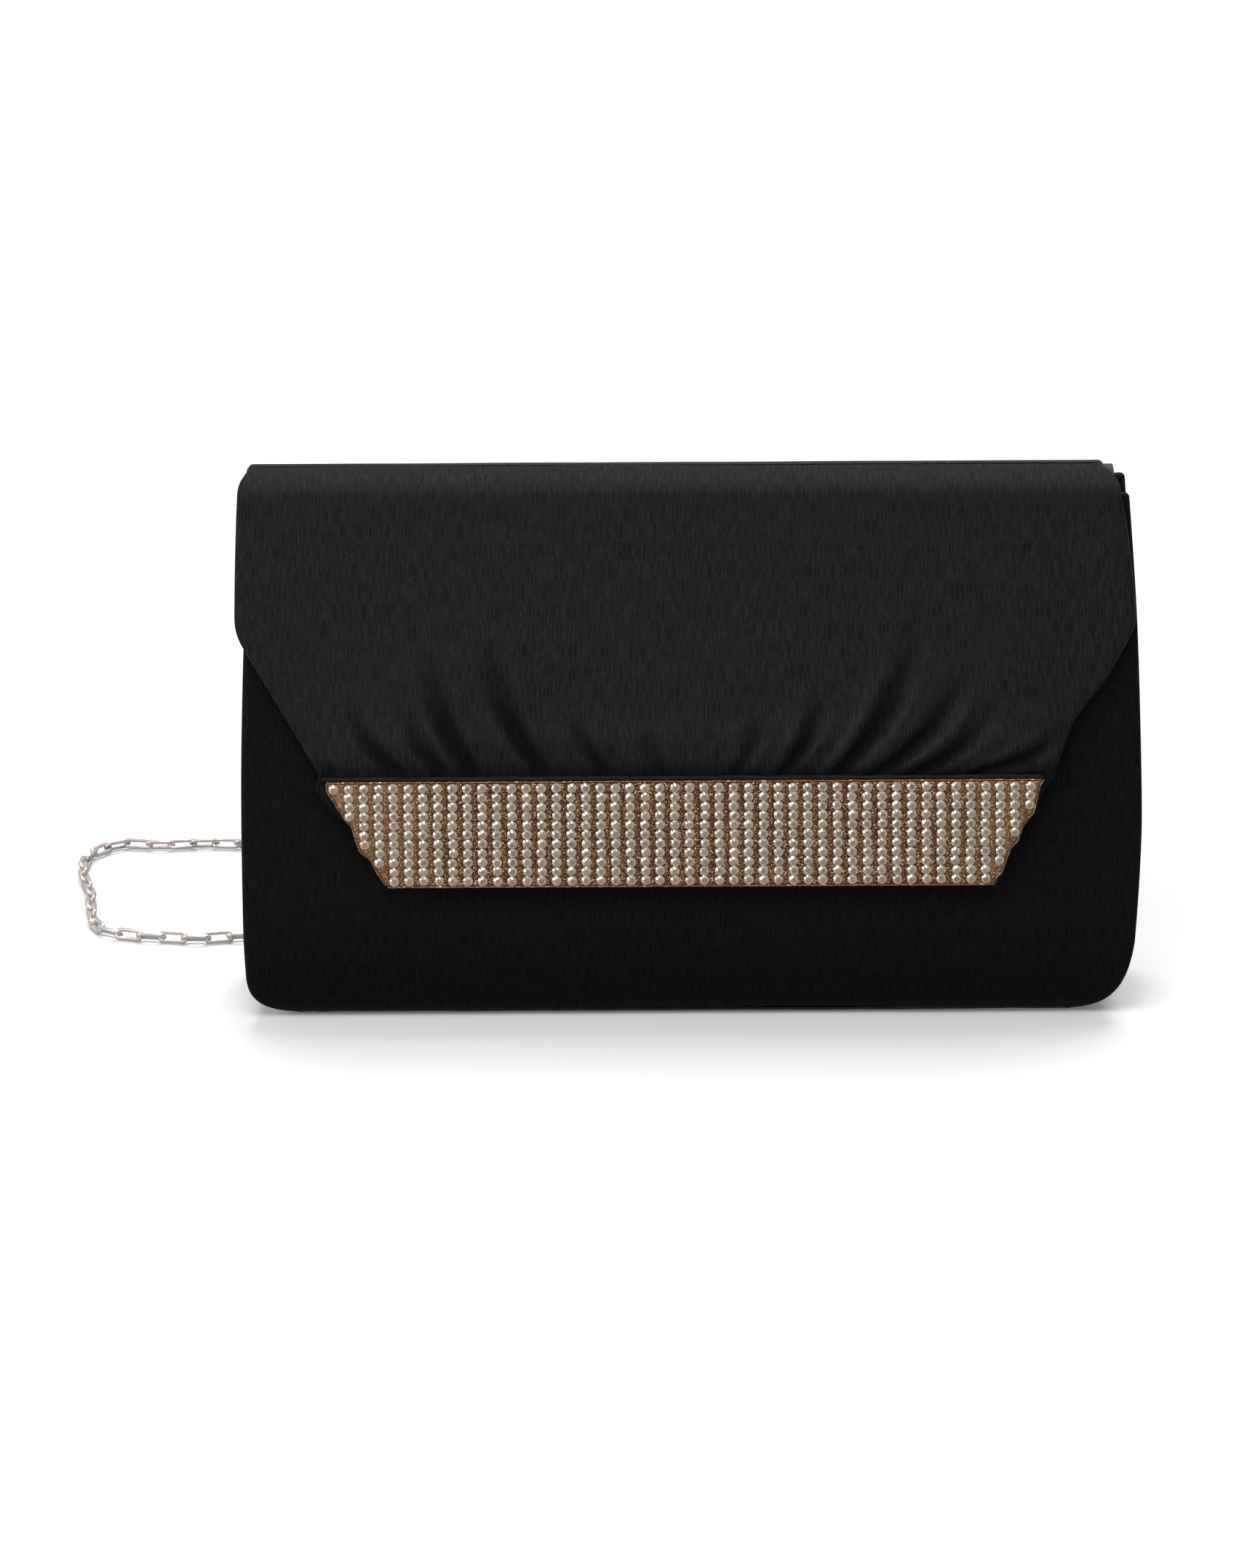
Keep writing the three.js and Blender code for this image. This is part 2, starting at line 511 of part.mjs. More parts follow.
// From the coil across to the right and up the back to the right clasp.
const RIGHT_ROUTE = [
  [27.5, 51.5, 4.2], [36, 50.8, 2.9], [45, 49.4, 2], [56, 47.2, 1.9], [72, 42.6, 1.9], [88, 37.8, 1.9], [98, 33.4, 2.7],
  [102.8, 30, 8.4], [104, 28.5, 18], [104, 27.8, 30], [104, 26.1, 45], [104, 24.1, 62],
  [104, 22.2, 80], [104, 20.5, 95], [104, 19.9, 106.2],
];

/** A plain round tube along a hand-laid route. */
function chainTube(route) {
  const path = new THREE.CatmullRomCurve3(route.map((p) => new THREE.Vector3(...p)), false, 'centripetal');
  const section = Array.from({ length: 8 }, (_, i) => {
    const turn = (2 * Math.PI * (i + 0.5)) / 8;
    return new THREE.Vector2(CHAIN_RADIUS * Math.cos(turn), CHAIN_RADIUS * Math.sin(turn));
  });
  const steps = Math.round(path.getLength() / CHAIN_STEP);
  return new THREE.ExtrudeGeometry(new THREE.Shape(section), { steps, extrudePath: path, bevelEnabled: false });
}

function makeChain() {
  piece('chain_left_run', chainTube(LEFT_ROUTE), silver);
  const [inner, outer] = [COIL.inner - 2.1, COIL.inner + COIL.turns * COIL.pitch + 2.1];
  const height = 4 * CHAIN_RADIUS + 0.2;
  const ring = turned([[inner, 0], [outer, 0], [outer, height], [inner, height]], 36);
  piece('chain_coil', ring, silver).position.set(COIL.x, COIL.y, 0);
  piece('chain_right_run', chainTube(RIGHT_ROUTE), silver);
}

makeBody();
makeFrontPanel();
makeGussets();
makeSocket();
makeTopStrip();
makeFlap();
makeStrapHardware('left', -HARDWARE_X);
makeStrapHardware('right', HARDWARE_X);
makeChain();

export default bag;
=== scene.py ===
"""A slim evening bag: black crinkle satin, a gathered flap with a crystal bar, a hidden snap, a chain strap.

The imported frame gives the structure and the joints; this script makes the cloth, the crystals, the
hardware and every finish. The bag stands on its base: front towards -Y, +X to the right seen from the
front, +Z up, origin in the middle of the flat base. Sizes are in millimetres until a mesh is written.
"""

import logging
import math
from contextlib import contextmanager
from dataclasses import dataclass, field
from enum import Enum
from typing import Callable, Iterator, Sequence

import bmesh
import bpy
import numpy as np
from mathutils import Matrix, Quaternion, Vector, noise


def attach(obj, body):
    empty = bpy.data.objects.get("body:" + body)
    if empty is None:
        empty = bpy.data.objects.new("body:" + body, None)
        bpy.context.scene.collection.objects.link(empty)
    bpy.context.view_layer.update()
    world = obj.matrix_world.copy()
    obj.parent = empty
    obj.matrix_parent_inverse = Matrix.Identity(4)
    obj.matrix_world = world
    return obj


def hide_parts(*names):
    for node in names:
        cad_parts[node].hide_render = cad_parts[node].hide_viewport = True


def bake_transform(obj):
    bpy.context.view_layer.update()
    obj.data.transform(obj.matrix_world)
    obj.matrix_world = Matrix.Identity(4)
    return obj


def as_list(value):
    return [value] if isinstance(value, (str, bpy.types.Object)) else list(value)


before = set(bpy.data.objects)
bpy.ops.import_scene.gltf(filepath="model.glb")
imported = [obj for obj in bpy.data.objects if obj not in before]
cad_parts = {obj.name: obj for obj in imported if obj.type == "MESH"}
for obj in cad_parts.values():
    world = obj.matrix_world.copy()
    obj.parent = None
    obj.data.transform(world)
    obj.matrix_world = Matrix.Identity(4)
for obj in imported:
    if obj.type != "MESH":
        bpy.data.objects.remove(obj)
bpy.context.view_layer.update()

log = logging.getLogger("evening_bag")
MM = 0.001
SHELL_WELD = 1e-7  # metres
PLATE_WELD = 2e-6

Array = np.ndarray
Points = Sequence[Sequence[float]]
Line = Callable[[Array], Array]  # an edge, or a depth, by distance along a profile
Relief = Callable[[Array, Array], Array]  # height over a cloth, by place across and along it
Piece = bpy.types.Object
Material = bpy.types.Material
Socket = bpy.types.NodeSocket


class Body(str, Enum):
    """The bodies of the frame that pieces ride on."""

    BAG = "bag"
    FRONT = "front_panel"
    TOP = "top_strip"
    FLAP = "flap"


class Slot(str, Enum):
    """Names of the material slots."""

    SATIN = "satin"
    LINING = "lining"
    BOARD = "board"
    WADDING = "wadding"
    GLITTER = "glitter"
    CRYSTAL = "crystal"
    GOLD = "antique_gold"
    SILVER = "silver"
    SNAP = "snap_metal"
    MAGNET = "magnet"


# ---- Driving sizes, shared with the frame's design ----
@dataclass(frozen=True)
class BagSizes:
    """The sizes that the cloth is laid out from."""

    base_half: float = 14.0
    belly_y: float = 25.0
    belly_z: float = 32.0
    lip_y: float = 12.0
    lip_z: float = 148.2
    hinge_z: float = 149.0
    front_fold_y: float = -13.2
    flap_stand_off: float = 3.4
    snap_z: float = 55.4
    wall: float = 3.2
    flap_thick: float = 2.6
    flap_face: float = 3.2
    bar_top: float = -79.3
    bar_bottom: float = -108.6
    bar_top_left: float = -100.0
    bar_top_right: float = 97.0
    bar_bottom_left: float = -83.6
    bar_bottom_right: float = 83.7
    hardware_x: float = 104.0

    @property
    def slope(self) -> float:
        """Run of the straight wall in Y for each millimetre of height."""
        return (self.belly_y - self.lip_y) / (self.lip_z - self.belly_z)

    @property
    def flap_tilt(self) -> float:
        """Lean of the closed flap, from its fold to the snap, in radians."""
        run = self.wall_y(self.snap_z) + self.flap_stand_off + self.front_fold_y
        return math.atan(run / (self.hinge_z - self.snap_z))

    def wall_y(self, z: float) -> float:
        """Distance of the straight wall's outside from the middle at a height."""
        return self.belly_y - self.slope * (z - self.belly_z)


SIZES = BagSizes()
SEAM_FROM_WALL = 23.0  # the front panel starts this far down the bottom curve


# ---- Curves ----
def smooth(t: Array) -> Array:
    """Smooth step of values clipped to 0..1."""
    t = np.clip(t, 0.0, 1.0)
    return t * t * (3 - 2 * t)


def stretch_between(b: Array, c: Array, v0: Array, v1: Array, steps: int) -> Array:
    """Samples from one point up to the next, given the curve's speed at both."""
    t = (np.arange(steps) / steps)[:, None]
    return (2 * b - 2 * c + v0 + v1) * t**3 + (3 * c - 3 * b - 2 * v0 - v1) * t**2 + v0 * t + b


def spline(points: Points, steps: int = 8) -> Array:
    """A uniform Catmull-Rom curve with held ends.

    Args:
        points: The points it passes through.
        steps: Samples from one point to the next.

    Returns:
        The samples, ends included.
    """
    p = np.array(points, float)
    p = np.vstack([p[:1], p, p[-1:]])
    out = []
    for a, b, c, d in zip(p[:-3], p[1:-2], p[2:-1], p[3:]):
        out.append(stretch_between(b, c, (c - a) / 2, (d - b) / 2, steps))
    return np.vstack([*out, p[-2:-1]])


def bezier(points: Points, steps: int = 12) -> Array:
    """Samples of one quadratic or cubic Bezier curve, ends included."""
    p = np.array(points, float)
    t = np.linspace(0, 1, steps + 1)[:, None]
    while len(p) > 1:
        p = [a + (b - a) * t for a, b in zip(p[:-1], p[1:])]
    return p[0]


def centripetal(points: Points, steps: int = 10) -> Array:
    """A centripetal Catmull-Rom curve through listed points, as the frame's chain follows."""
    p = np.array(points, float)
    p = np.vstack([2 * p[0] - p[1], p, 2 * p[-1] - p[-2]])
    out = []
    for a, b, c, d in zip(p[:-3], p[1:-2], p[2:-1], p[3:]):
        k = [max(math.sqrt(np.linalg.norm(v - u)), 1e-4) for u, v in ((a, b), (b, c), (c, d))]
        v0 = ((b - a) / k[0] - (c - a) / (k[0] + k[1]) + (c - b) / k[1]) * k[1]
        v1 = ((c - b) / k[1] - (d - b) / (k[1] + k[2]) + (d - c) / k[2]) * k[1]
        out.append(stretch_between(b, c, v0, v1, steps))
    return np.vstack([*out, p[-2:-1]])


def run_along(path: Array) -> Array:
    """Distance of each point of a line from its first."""
    return np.concatenate([[0], np.cumsum(np.linalg.norm(np.diff(path, axis=0), axis=1))])


def even_points(path: Array, count: int, start: float = 0.0, end: float = 0.0) -> tuple[Array, Array]:
    """Points spaced evenly along a path.

    Args:
        path: The path's samples.
        count: How many points.
        start: Length left out at the beginning.
        end: Length left out at the end.

    Returns:
        The points and the unit direction at each.
    """
    lengths = run_along(path)
    at = np.linspace(start, lengths[-1] - end, count)
    behind, points, ahead = (
        np.stack([np.interp(at + shift, lengths, path[:, k]) for k in range(3)], axis=1)
        for shift in (-0.5, 0.0, 0.5)
    )
    along = ahead - behind
    return points, along / np.linalg.norm(along, axis=1)[:, None]


def soft_noise(x: Array, s: Array, wide: float, tall: float, seed: float) -> Array:
    """Smooth noise from about -1 to 1 over a cloth, with features of a given width and height."""
    flat = [noise.noise(Vector((u / wide, v / tall, seed))) for u, v in zip(x.ravel(), s.ravel())]
    return np.array(flat).reshape(x.shape)


class Section:
    """A profile in (y, z) that a cloth follows, drawn out along X."""

    def __init__(self, points: Array, side: int, run_on: float = 12.0) -> None:
        """Measures a profile.

        Args:
            points: Its samples, from the first edge to the last.
            side: 1 if the inside is on the right of the way along it, -1 if on the left.
            run_on: How far both ends may be run on straight.
        """
        way = np.diff(points, axis=0)
        first, last = way[0] / np.linalg.norm(way[0]), way[-1] / np.linalg.norm(way[-1])
        self.points = np.vstack([points[:1] - first * run_on, points, points[-1:] + last * run_on])
        self.at = run_along(self.points) - run_on
        tangent = np.gradient(self.points, self.at, axis=0)
        tangent /= np.linalg.norm(tangent, axis=1)[:, None]
        self.inward = side * np.stack([tangent[:, 1], -tangent[:, 0]], axis=1)
        self.length = self.at[-1] - run_on

    def place(self, x: Array, at: Array, inset: Array) -> Array:
        """Points of the cloth.

        Args:
            x: Across the bag.
            at: Distance along the profile.
            inset: Distance inwards from the profile.

        Returns:
            The points, with one more axis of three.
        """
        y, z = (np.interp(at, self.at, self.points[:, k]) for k in (0, 1))
        ny, nz = (np.interp(at, self.at, self.inward[:, k]) for k in (0, 1))
        scale = inset / np.hypot(ny, nz)
        return np.stack([x + 0 * at, y + ny * scale, z + nz * scale], axis=-1)

    def height(self, at: Array) -> Array:
        """Height of the profile at distances along it."""
        return np.interp(at, self.at, self.points[:, 1])

    def at_height(self, z: float, back: bool) -> float:
        """Distance along the profile at a height of its back or its front wall."""
        half = len(self.at) // 2
        rows = slice(1, half) if back else slice(half, len(self.at) - 1)
        heights, at = self.points[rows, 1], self.at[rows]
        order = np.argsort(heights)
        return float(np.interp(z, heights[order], at[order]))


def wall_section() -> Section:
    """The bag's outer wall: back lip, round the base, front lip."""
    s = SIZES
    tilt = math.atan(s.slope)
    belly = np.array([s.belly_y, s.belly_z])
    down = belly + 13 * np.array([math.sin(tilt), -math.cos(tilt)])
    wall = np.linspace([s.lip_y, s.lip_z], belly, 40)
    curve = bezier([belly, down, [s.base_half + 9, 0], [s.base_half, 0]], 24)
    back = np.vstack([wall, curve[1:]])
    base = np.linspace([s.base_half, 0], [-s.base_half, 0], 13)[1:-1]
    return Section(np.vstack([back, base, (back * [-1, 1])[::-1]]), side=1)


class Outline:
    """Left and right edges of the bag, seen from the front, by height."""

    def __init__(self) -> None:
        """Draws both edges as the frame does."""
        left = spline([(-119.8, 152), (-122.2, 118), (-124.0, 72), (-124.2, 30), (-123.8, 12)])
        left = np.vstack([left, bezier([(-123.8, 12), (-123.4, 3.8), (-118.0, 0.3), (-107, 0)])[1:]])
        right = spline([(122.9, 22), (124.3, 46), (124.5, 66), (123.0, 112), (120.2, 152)])
        right = np.vstack([bezier([(103, 0), (115, 0.3), (120.8, 6), (122.9, 22)])[:-1], right])
        self.edges = {-1: left[::-1], 1: right}

    def x(self, side: int, z: Array, inset: float = 0.0) -> Array:
        """Where an edge is at some heights.

        Args:
            side: -1 for the left edge, 1 for the right.
            z: Heights.
            inset: Distance inside the edge.

        Returns:
            X of the edge.
        """
        edge = self.edges[side]
        return np.interp(z, edge[:, 1], edge[:, 0]) - side * inset


WALL = wall_section()
OUTLINE = Outline()
WALL_LENGTH = WALL.at_height(SIZES.belly_z, back=True)
FRONT_SEAM = WALL.length - WALL_LENGTH - SEAM_FROM_WALL
FLAP_UP = np.array([math.sin(SIZES.flap_tilt), math.cos(SIZES.flap_tilt)])
FLAP_OUT = np.array([-math.cos(SIZES.flap_tilt), math.sin(SIZES.flap_tilt)])
FLAP_ORIGIN = np.array([SIZES.front_fold_y, SIZES.hinge_z])


def on_flap(points: Array) -> Array:
    """Flat flap coordinates (x, up from the fold, out from the lining) placed on the closed flap."""
    p = np.asarray(points, float)
    yz = FLAP_ORIGIN + p[..., 1:2] * FLAP_UP + p[..., 2:3] * FLAP_OUT
    return np.concatenate([p[..., :1], yz], axis=-1)


# ---- Meshes ----
@contextmanager
def edited(mesh: bpy.types.Mesh) -> Iterator[bmesh.types.BMesh]:
    """Opens a mesh for editing and writes it back."""
    shape = bmesh.new()
    shape.from_mesh(mesh)
    yield shape
    shape.to_mesh(mesh)
    shape.free()


class SheetMesh:
    """Grids of cloth points gathered into one mesh with a UV map in metres."""

    def __init__(self, name: str) -> None:
        """Starts an empty mesh."""
        self.name = name
        self.points: list[Array] = []
        self.uvs: list[Array] = []
        self.faces: list[Array] = []
        self.count = 0

    def add(self, points: Array, uv: Array, flip: bool = False) -> None:
        """Adds one grid.

        Args:
            points: Rows by columns by three, in millimetres.
            uv: Rows by columns by two, in millimetres.
            flip: Turns the faces over.
        """
        rows, cols = points.shape[:2]
        ids = np.arange(rows * cols).reshape(rows, cols) + self.count
        quads = np.stack([ids[:-1, :-1], ids[:-1, 1:], ids[1:, 1:], ids[1:, :-1]], axis=-1).reshape(-1, 4)
        self.faces.append(quads[:, ::-1] if flip else quads)
        self.points.append(points.reshape(-1, 3))
        self.uvs.append(uv.reshape(-1, 2))
        self.count += rows * cols

    def build(self, weld: float = 1e-6) -> Piece:
        """Writes the mesh.

        Args:
            weld: Points closer than this, in metres, become one.

        Returns:
            The object, at the origin.
        """
        points, uvs = np.vstack(self.points) * MM, np.vstack(self.uvs) * MM
        faces = np.vstack(self.faces)
        mesh = bpy.data.meshes.new(self.name)
        mesh.from_pydata(points.tolist(), [], faces.tolist())
        layer = mesh.uv_layers.new(name="cloth")
        layer.data.foreach_set("uv", uvs[faces.ravel()].astype(np.float32).ravel())
        with edited(mesh) as shape:
            bmesh.ops.remove_doubles(shape, verts=shape.verts, dist=weld)
            bmesh.ops.dissolve_degenerate(shape, edges=shape.edges, dist=weld / 10)
        return new_object(self.name, mesh)


def linked(name: str, data: bpy.types.ID) -> Piece:
    """A new object of some data, in the scene."""
    item = bpy.data.objects.new(name, data)
    bpy.context.scene.collection.objects.link(item)
    return item


def new_object(name: str, mesh: bpy.types.Mesh, flat: bool = False) -> Piece:
    """Links a mesh into the scene as a smooth, or flat-shaded, object."""
    mesh.polygons.foreach_set("use_smooth", [not flat] * len(mesh.polygons))
    return linked(name, mesh)


def finished(name: str, maker: Piece, *tools: Piece, flat: bool = False) -> Piece:
    """The plain mesh that a maker's curve or modifiers give; the maker and its tools go."""
    graph = bpy.context.evaluated_depsgraph_get()
    mesh = bpy.data.meshes.new_from_object(maker.evaluated_get(graph))
    mesh.name = name
    for used in (maker, *tools):
        bpy.data.objects.remove(used)
    return new_object(name, mesh, flat)


def cloth_from(name: str, points: Array, uv: Array, flip: bool = False) -> Piece:
    """A cloth of one grid of points, in millimetres like its UV map."""
    sheet = SheetMesh(name)
    sheet.add(points, uv, flip)
    return sheet.build()


def thicken(piece: Piece, thickness: float, offset: float = 0.0) -> Piece:
    """Gives a sheet a thickness in millimetres, with closed edges."""
    wall = piece.modifiers.new("thickness", "SOLIDIFY")
    wall.thickness = thickness * MM
    wall.offset = offset
    return piece


def shell_from(name: str, points: Points, faces: Sequence[Sequence[int]]) -> Piece:
    """A closed shell from points in millimetres, with its faces turned outwards."""
    mesh = bpy.data.meshes.new(name)
    mesh.from_pydata([tuple(c * MM for c in p) for p in points], [], [list(f) for f in faces])
    piece = new_object(name, mesh)
    turn_outwards(piece, SHELL_WELD)
    return piece


def tube(name: str, path: Array, radius: float, sides: int = 10, closed: bool = False) -> Piece:
    """A tube along a path, with capped ends or closed on itself.

    Args:
        name: The object's name.
        path: Points in millimetres.
        radius: Radius of the tube.
        sides: Sides of its section.
        closed: Whether the path meets itself.

    Returns:
        The tube, with a UV map along and round it.
    """
    way = np.roll(path, -1, axis=0) - np.roll(path, 1, axis=0)
    if not closed:
        way[0], way[-1] = path[1] - path[0], path[-1] - path[-2]
    way /= np.linalg.norm(way, axis=1)[:, None]
    normal = np.cross(way[0], [0.0, 0.0, 1.0] if abs(way[0][2]) < 0.9 else [1.0, 0.0, 0.0])
    normal /= np.linalg.norm(normal)
    turns = np.arange(sides + 1) * 2 * math.pi / sides
    rings = []
    for point, t in zip(path, way):
        normal = normal - t * normal.dot(t)
        normal /= np.linalg.norm(normal)
        other = np.cross(t, normal)
        ring = np.outer(np.cos(turns), normal) + np.outer(np.sin(turns), other)
        rings.append(point + radius * ring)
    if closed:
        rings.append(rings[0])
    along = np.arange(len(rings))[:, None] * radius
    grid = np.array(rings)
    uv = np.stack([turns[None, :] * radius + 0 * along, along + 0 * turns[None, :]], axis=-1)
    sheet = SheetMesh(name)
    sheet.add(grid, uv)
    if not closed:
        for ring, middle in ((grid[0], path[0]), (grid[-1], path[-1])):
            cap = np.stack([np.repeat(middle[None], sides + 1, 0), ring])
            sheet.add(cap, np.zeros((2, sides + 1, 2)))
    piece = sheet.build()
    turn_outwards(piece)
    return piece


def turn_outwards(piece: Piece, weld: float = 0.0) -> None:
    """Points the faces of a closed shell outwards, once corners within the weld, in metres, are merged."""
    with edited(piece.data) as shape:
        if weld:
            bmesh.ops.remove_doubles(shape, verts=shape.verts, dist=weld)
        bmesh.ops.recalc_face_normals(shape, faces=shape.faces)


# ---- Node helpers ----
class Nodes:
    """A node tree that is built by short calls."""

    def __init__(self, tree: bpy.types.NodeTree) -> None:
        """Works on an empty or a new tree."""
        self.tree = tree

    def add(self, kind: str, values: dict | None = None, **settings: object) -> bpy.types.Node:
        """Adds a node.

        Args:
            kind: Its type name.
            values: Input values or links, by input name or number.
            settings: Its own properties.

        Returns:
            The node.
        """
        node = self.tree.nodes.new(kind)
        for key, value in settings.items():
            setattr(node, key, value)
        for key, value in (values or {}).items():
            self.feed(node.inputs[key], value)
        return node

    def feed(self, socket: Socket, value: object) -> None:
        """Gives an input a value, or a link from an output."""
        if isinstance(value, Socket):
            self.tree.links.new(value, socket)
        else:
            socket.default_value = value

    def math(self, operation: str, *values: object) -> Socket:
        """The result of a Math node."""
        node = self.add("ShaderNodeMath", operation=operation)
        for socket, value in zip(node.inputs, values):
            self.feed(socket, value)
        return node.outputs[0]

    def noise(self, vector: Socket, scale: float, detail: float, **more: float) -> Socket:
        """A noise texture's value."""
        values = {"Vector": vector, "Scale": scale, "Detail": detail, **more}
        return self.add("ShaderNodeTexNoise", values).outputs[0]

    def mix(self, factor: object, a: object, b: object) -> Socket:
        """A mix of two colours."""
        node = self.add("ShaderNodeMix", {0: factor, 6: a, 7: b}, data_type="RGBA")
        return node.outputs[2]

    def between(self, value: Socket, low: float, high: float, to_low: float = 0.0,
                to_high: float = 1.0) -> Socket:
        """A value mapped from one range to another, held at its ends."""
        return self.add("ShaderNodeMapRange", {0: value, 1: low, 2: high, 3: to_low, 4: to_high}).outputs[0]


def rgba(red: float, green: float, blue: float) -> tuple[float, float, float, float]:
    """A colour with full opacity."""
    return (red, green, blue, 1.0)


# ---- Effects shared by several finishes ----
class Effects:
    """Shader node groups that several finishes use, each built once."""

    def __init__(self) -> None:
        """Builds the groups."""
        self.crinkle = self._crinkle()
        self.weave = self._weave()
        self.speckle = self._speckle()
        self.wear = self._wear()

    @staticmethod
    def _group(name: str, numbers: dict[str, float], outputs: Sequence[str]) -> tuple[Nodes, object, object]:
        """An empty group with a Vector input, number inputs and number outputs.

        Args:
            name: The group's name.
            numbers: Its number inputs with their usual values.
            outputs: Names of its number outputs.

        Returns:
            The tree, the sockets that bring its inputs and the sockets that take its outputs.
        """
        tree = bpy.data.node_groups.new(name, "ShaderNodeTree")
        tree.interface.new_socket("Vector", in_out="INPUT", socket_type="NodeSocketVector")
        for label, value in numbers.items():
            number = tree.interface.new_socket(label, in_out="INPUT", socket_type="NodeSocketFloat")
            number.default_value = value
        for label in outputs:
            tree.interface.new_socket(label, in_out="OUTPUT", socket_type="NodeSocketFloat")
        nodes = Nodes(tree)
        return nodes, nodes.add("NodeGroupInput").outputs, nodes.add("NodeGroupOutput").inputs

    @staticmethod
    def _divided(n: Nodes, vector: object, x: object, y: object, z: object) -> Socket:
        """A vector divided by a size along each axis."""
        size = n.add("ShaderNodeCombineXYZ", {0: x, 1: y, 2: z}).outputs[0]
        return n.add("ShaderNodeVectorMath", {0: vector, 1: size}, operation="DIVIDE").outputs[0]

    def _crinkle(self) -> bpy.types.NodeTree:
        """Long fine crinkles running down the cloth, broken up along their length."""
        sizes = {"Line Width": 0.0006, "Line Length": 0.009}
        n, given, out = self._group("satin_crinkle", sizes, ["Height", "Shade"])
        width, length = given["Line Width"], given["Line Length"]
        lines = self._divided(n, given["Vector"], width, length, width)
        ridges = n.noise(lines, 1.0, 3.0, Roughness=0.6)
        broad = self._divided(n, given["Vector"], n.math("MULTIPLY", width, 3.4), length, length)
        folds = n.noise(broad, 1.0, 2.0)
        both = n.math("MULTIPLY_ADD", ridges, 0.8, n.math("MULTIPLY", folds, 0.2))
        n.feed(out["Height"], both)
        n.feed(out["Shade"], n.between(both, 0.38, 0.64))
        return n.tree

    def _weave(self) -> bpy.types.NodeTree:
        """Threads over and under each other."""
        n, given, out = self._group("thread_weave", {"Thread": 0.0003, "Slant": 0.0}, ["Height"])
        thread = given["Thread"]
        place = self._divided(n, given["Vector"], thread, thread, thread)
        split = n.add("ShaderNodeSeparateXYZ", {0: place})
        lean = n.math("ADD", split.outputs[0], n.math("MULTIPLY", split.outputs[1], given["Slant"]))
        across = n.math("SINE", n.math("MULTIPLY", lean, math.pi))
        up = n.math("SINE", n.math("MULTIPLY", split.outputs[1], math.pi))
        fuzz = n.noise(place, 0.7, 2.0)
        woven = n.math("MULTIPLY_ADD", n.math("MULTIPLY", across, up), 0.35, 0.5)
        n.feed(out["Height"], n.math("MULTIPLY_ADD", fuzz, 0.5, woven))
        return n.tree

    def _speckle(self) -> bpy.types.NodeTree:
        """Separate small grains, and a number that differs from grain to grain."""
        n, given, out = self._group("grain_speckle", {"Grain": 0.0003, "Share": 0.1}, ["Mask", "Tone"])
        grain = given["Grain"]
        place = self._divided(n, given["Vector"], grain, grain, grain)
        cells = n.add("ShaderNodeTexVoronoi", {"Vector": place, "Scale": 1.0})
        tone = n.add("ShaderNodeSeparateColor", {0: cells.outputs["Color"]})
        rare = n.math("GREATER_THAN", tone.outputs[0], n.math("SUBTRACT", 1.0, given["Share"]))
        core = n.math("LESS_THAN", cells.outputs["Distance"], 0.5)
        n.feed(out["Mask"], n.math("MULTIPLY", rare, core))
        n.feed(out["Tone"], tone.outputs[1])
        return n.tree

    def _wear(self) -> bpy.types.NodeTree:
        """Rubbed and dulled patches with fine scratches."""
        n, given, out = self._group("metal_wear", {"Patch": 0.004, "Amount": 0.5}, ["Mask", "Height"])
        patch = given["Patch"]
        place = self._divided(n, given["Vector"], patch, patch, patch)
        patches = n.noise(place, 1.0, 5.0, Roughness=0.65)
        thin = n.math("MULTIPLY", patch, 0.05)
        drawn = self._divided(n, given["Vector"], thin, patch, patch)
        scratches = n.noise(drawn, 1.0, 3.0)
        rubbed = n.between(patches, 0.42, 0.66)
        n.feed(out["Mask"], n.math("MULTIPLY", rubbed, given["Amount"]))
        n.feed(out["Height"], scratches)
        return n.tree


@dataclass(frozen=True)
class Finish:
    """The values of a finish that are the same all over it."""

    name: str
    metallic: float = 0.0
    specular: float = 0.5
    sheen: float = 0.0
    sheen_roughness: float = 0.4
    coat: float = 0.0
    coat_roughness: float = 0.1


class Paint(Nodes):
    """A Principled material that is mixed by short calls."""

    def __init__(self, finish: Finish) -> None:
        """Starts the material from its even values."""
        self.material = bpy.data.materials.new(finish.name)
        self.material.use_nodes = True
        super().__init__(self.material.node_tree)
        self.shader = self.tree.nodes["Principled BSDF"]
        for socket, value in {
            "Metallic": finish.metallic, "Specular IOR Level": finish.specular, "Sheen Weight": finish.sheen,
            "Sheen Roughness": finish.sheen_roughness, "Coat Weight": finish.coat,
            "Coat Roughness": finish.coat_roughness,
        }.items():
            self.shader.inputs[socket].default_value = value
        self.places = self.add("ShaderNodeTexCoord").outputs

    def group(self, tree: bpy.types.NodeTree, vector: object, **numbers: float) -> object:
        """Places an effect.

        Args:
            tree: The effect.
            vector: Where it reads its place from.
            numbers: Its number inputs, with _ for spaces.

        Returns:
            Its outputs.
        """
        node = self.add("ShaderNodeGroup", node_tree=tree)
        self.feed(node.inputs["Vector"], vector)
        for label, value in numbers.items():
            self.feed(node.inputs[label.replace("_", " ")], value)
        return node.outputs

    def mark(self, label: str) -> Socket:
        """A number stored on the piece."""
        return self.add("ShaderNodeAttribute", attribute_name=label).outputs["Fac"]

    def give(self, **sockets: object) -> None:
        """Feeds inputs of the shader, named with _ for spaces."""
        for label, value in sockets.items():
            self.feed(self.shader.inputs[label.replace("_", " ")], value)

    def bump(self, height: object, distance: float, strength: float = 1.0, under: object = None) -> object:
        """Turns a height into a normal.

        Args:
            height: The height, from 0 to 1.
            distance: How high 1 stands, in metres.
            strength: Share of the effect.
            under: A normal that it adds to.

        Returns:
            The normal.
        """
        values = {"Height": height, "Distance": distance, "Strength": strength}
        if under is not None:
            values["Normal"] = under
        return self.add("ShaderNodeBump", values).outputs[0]


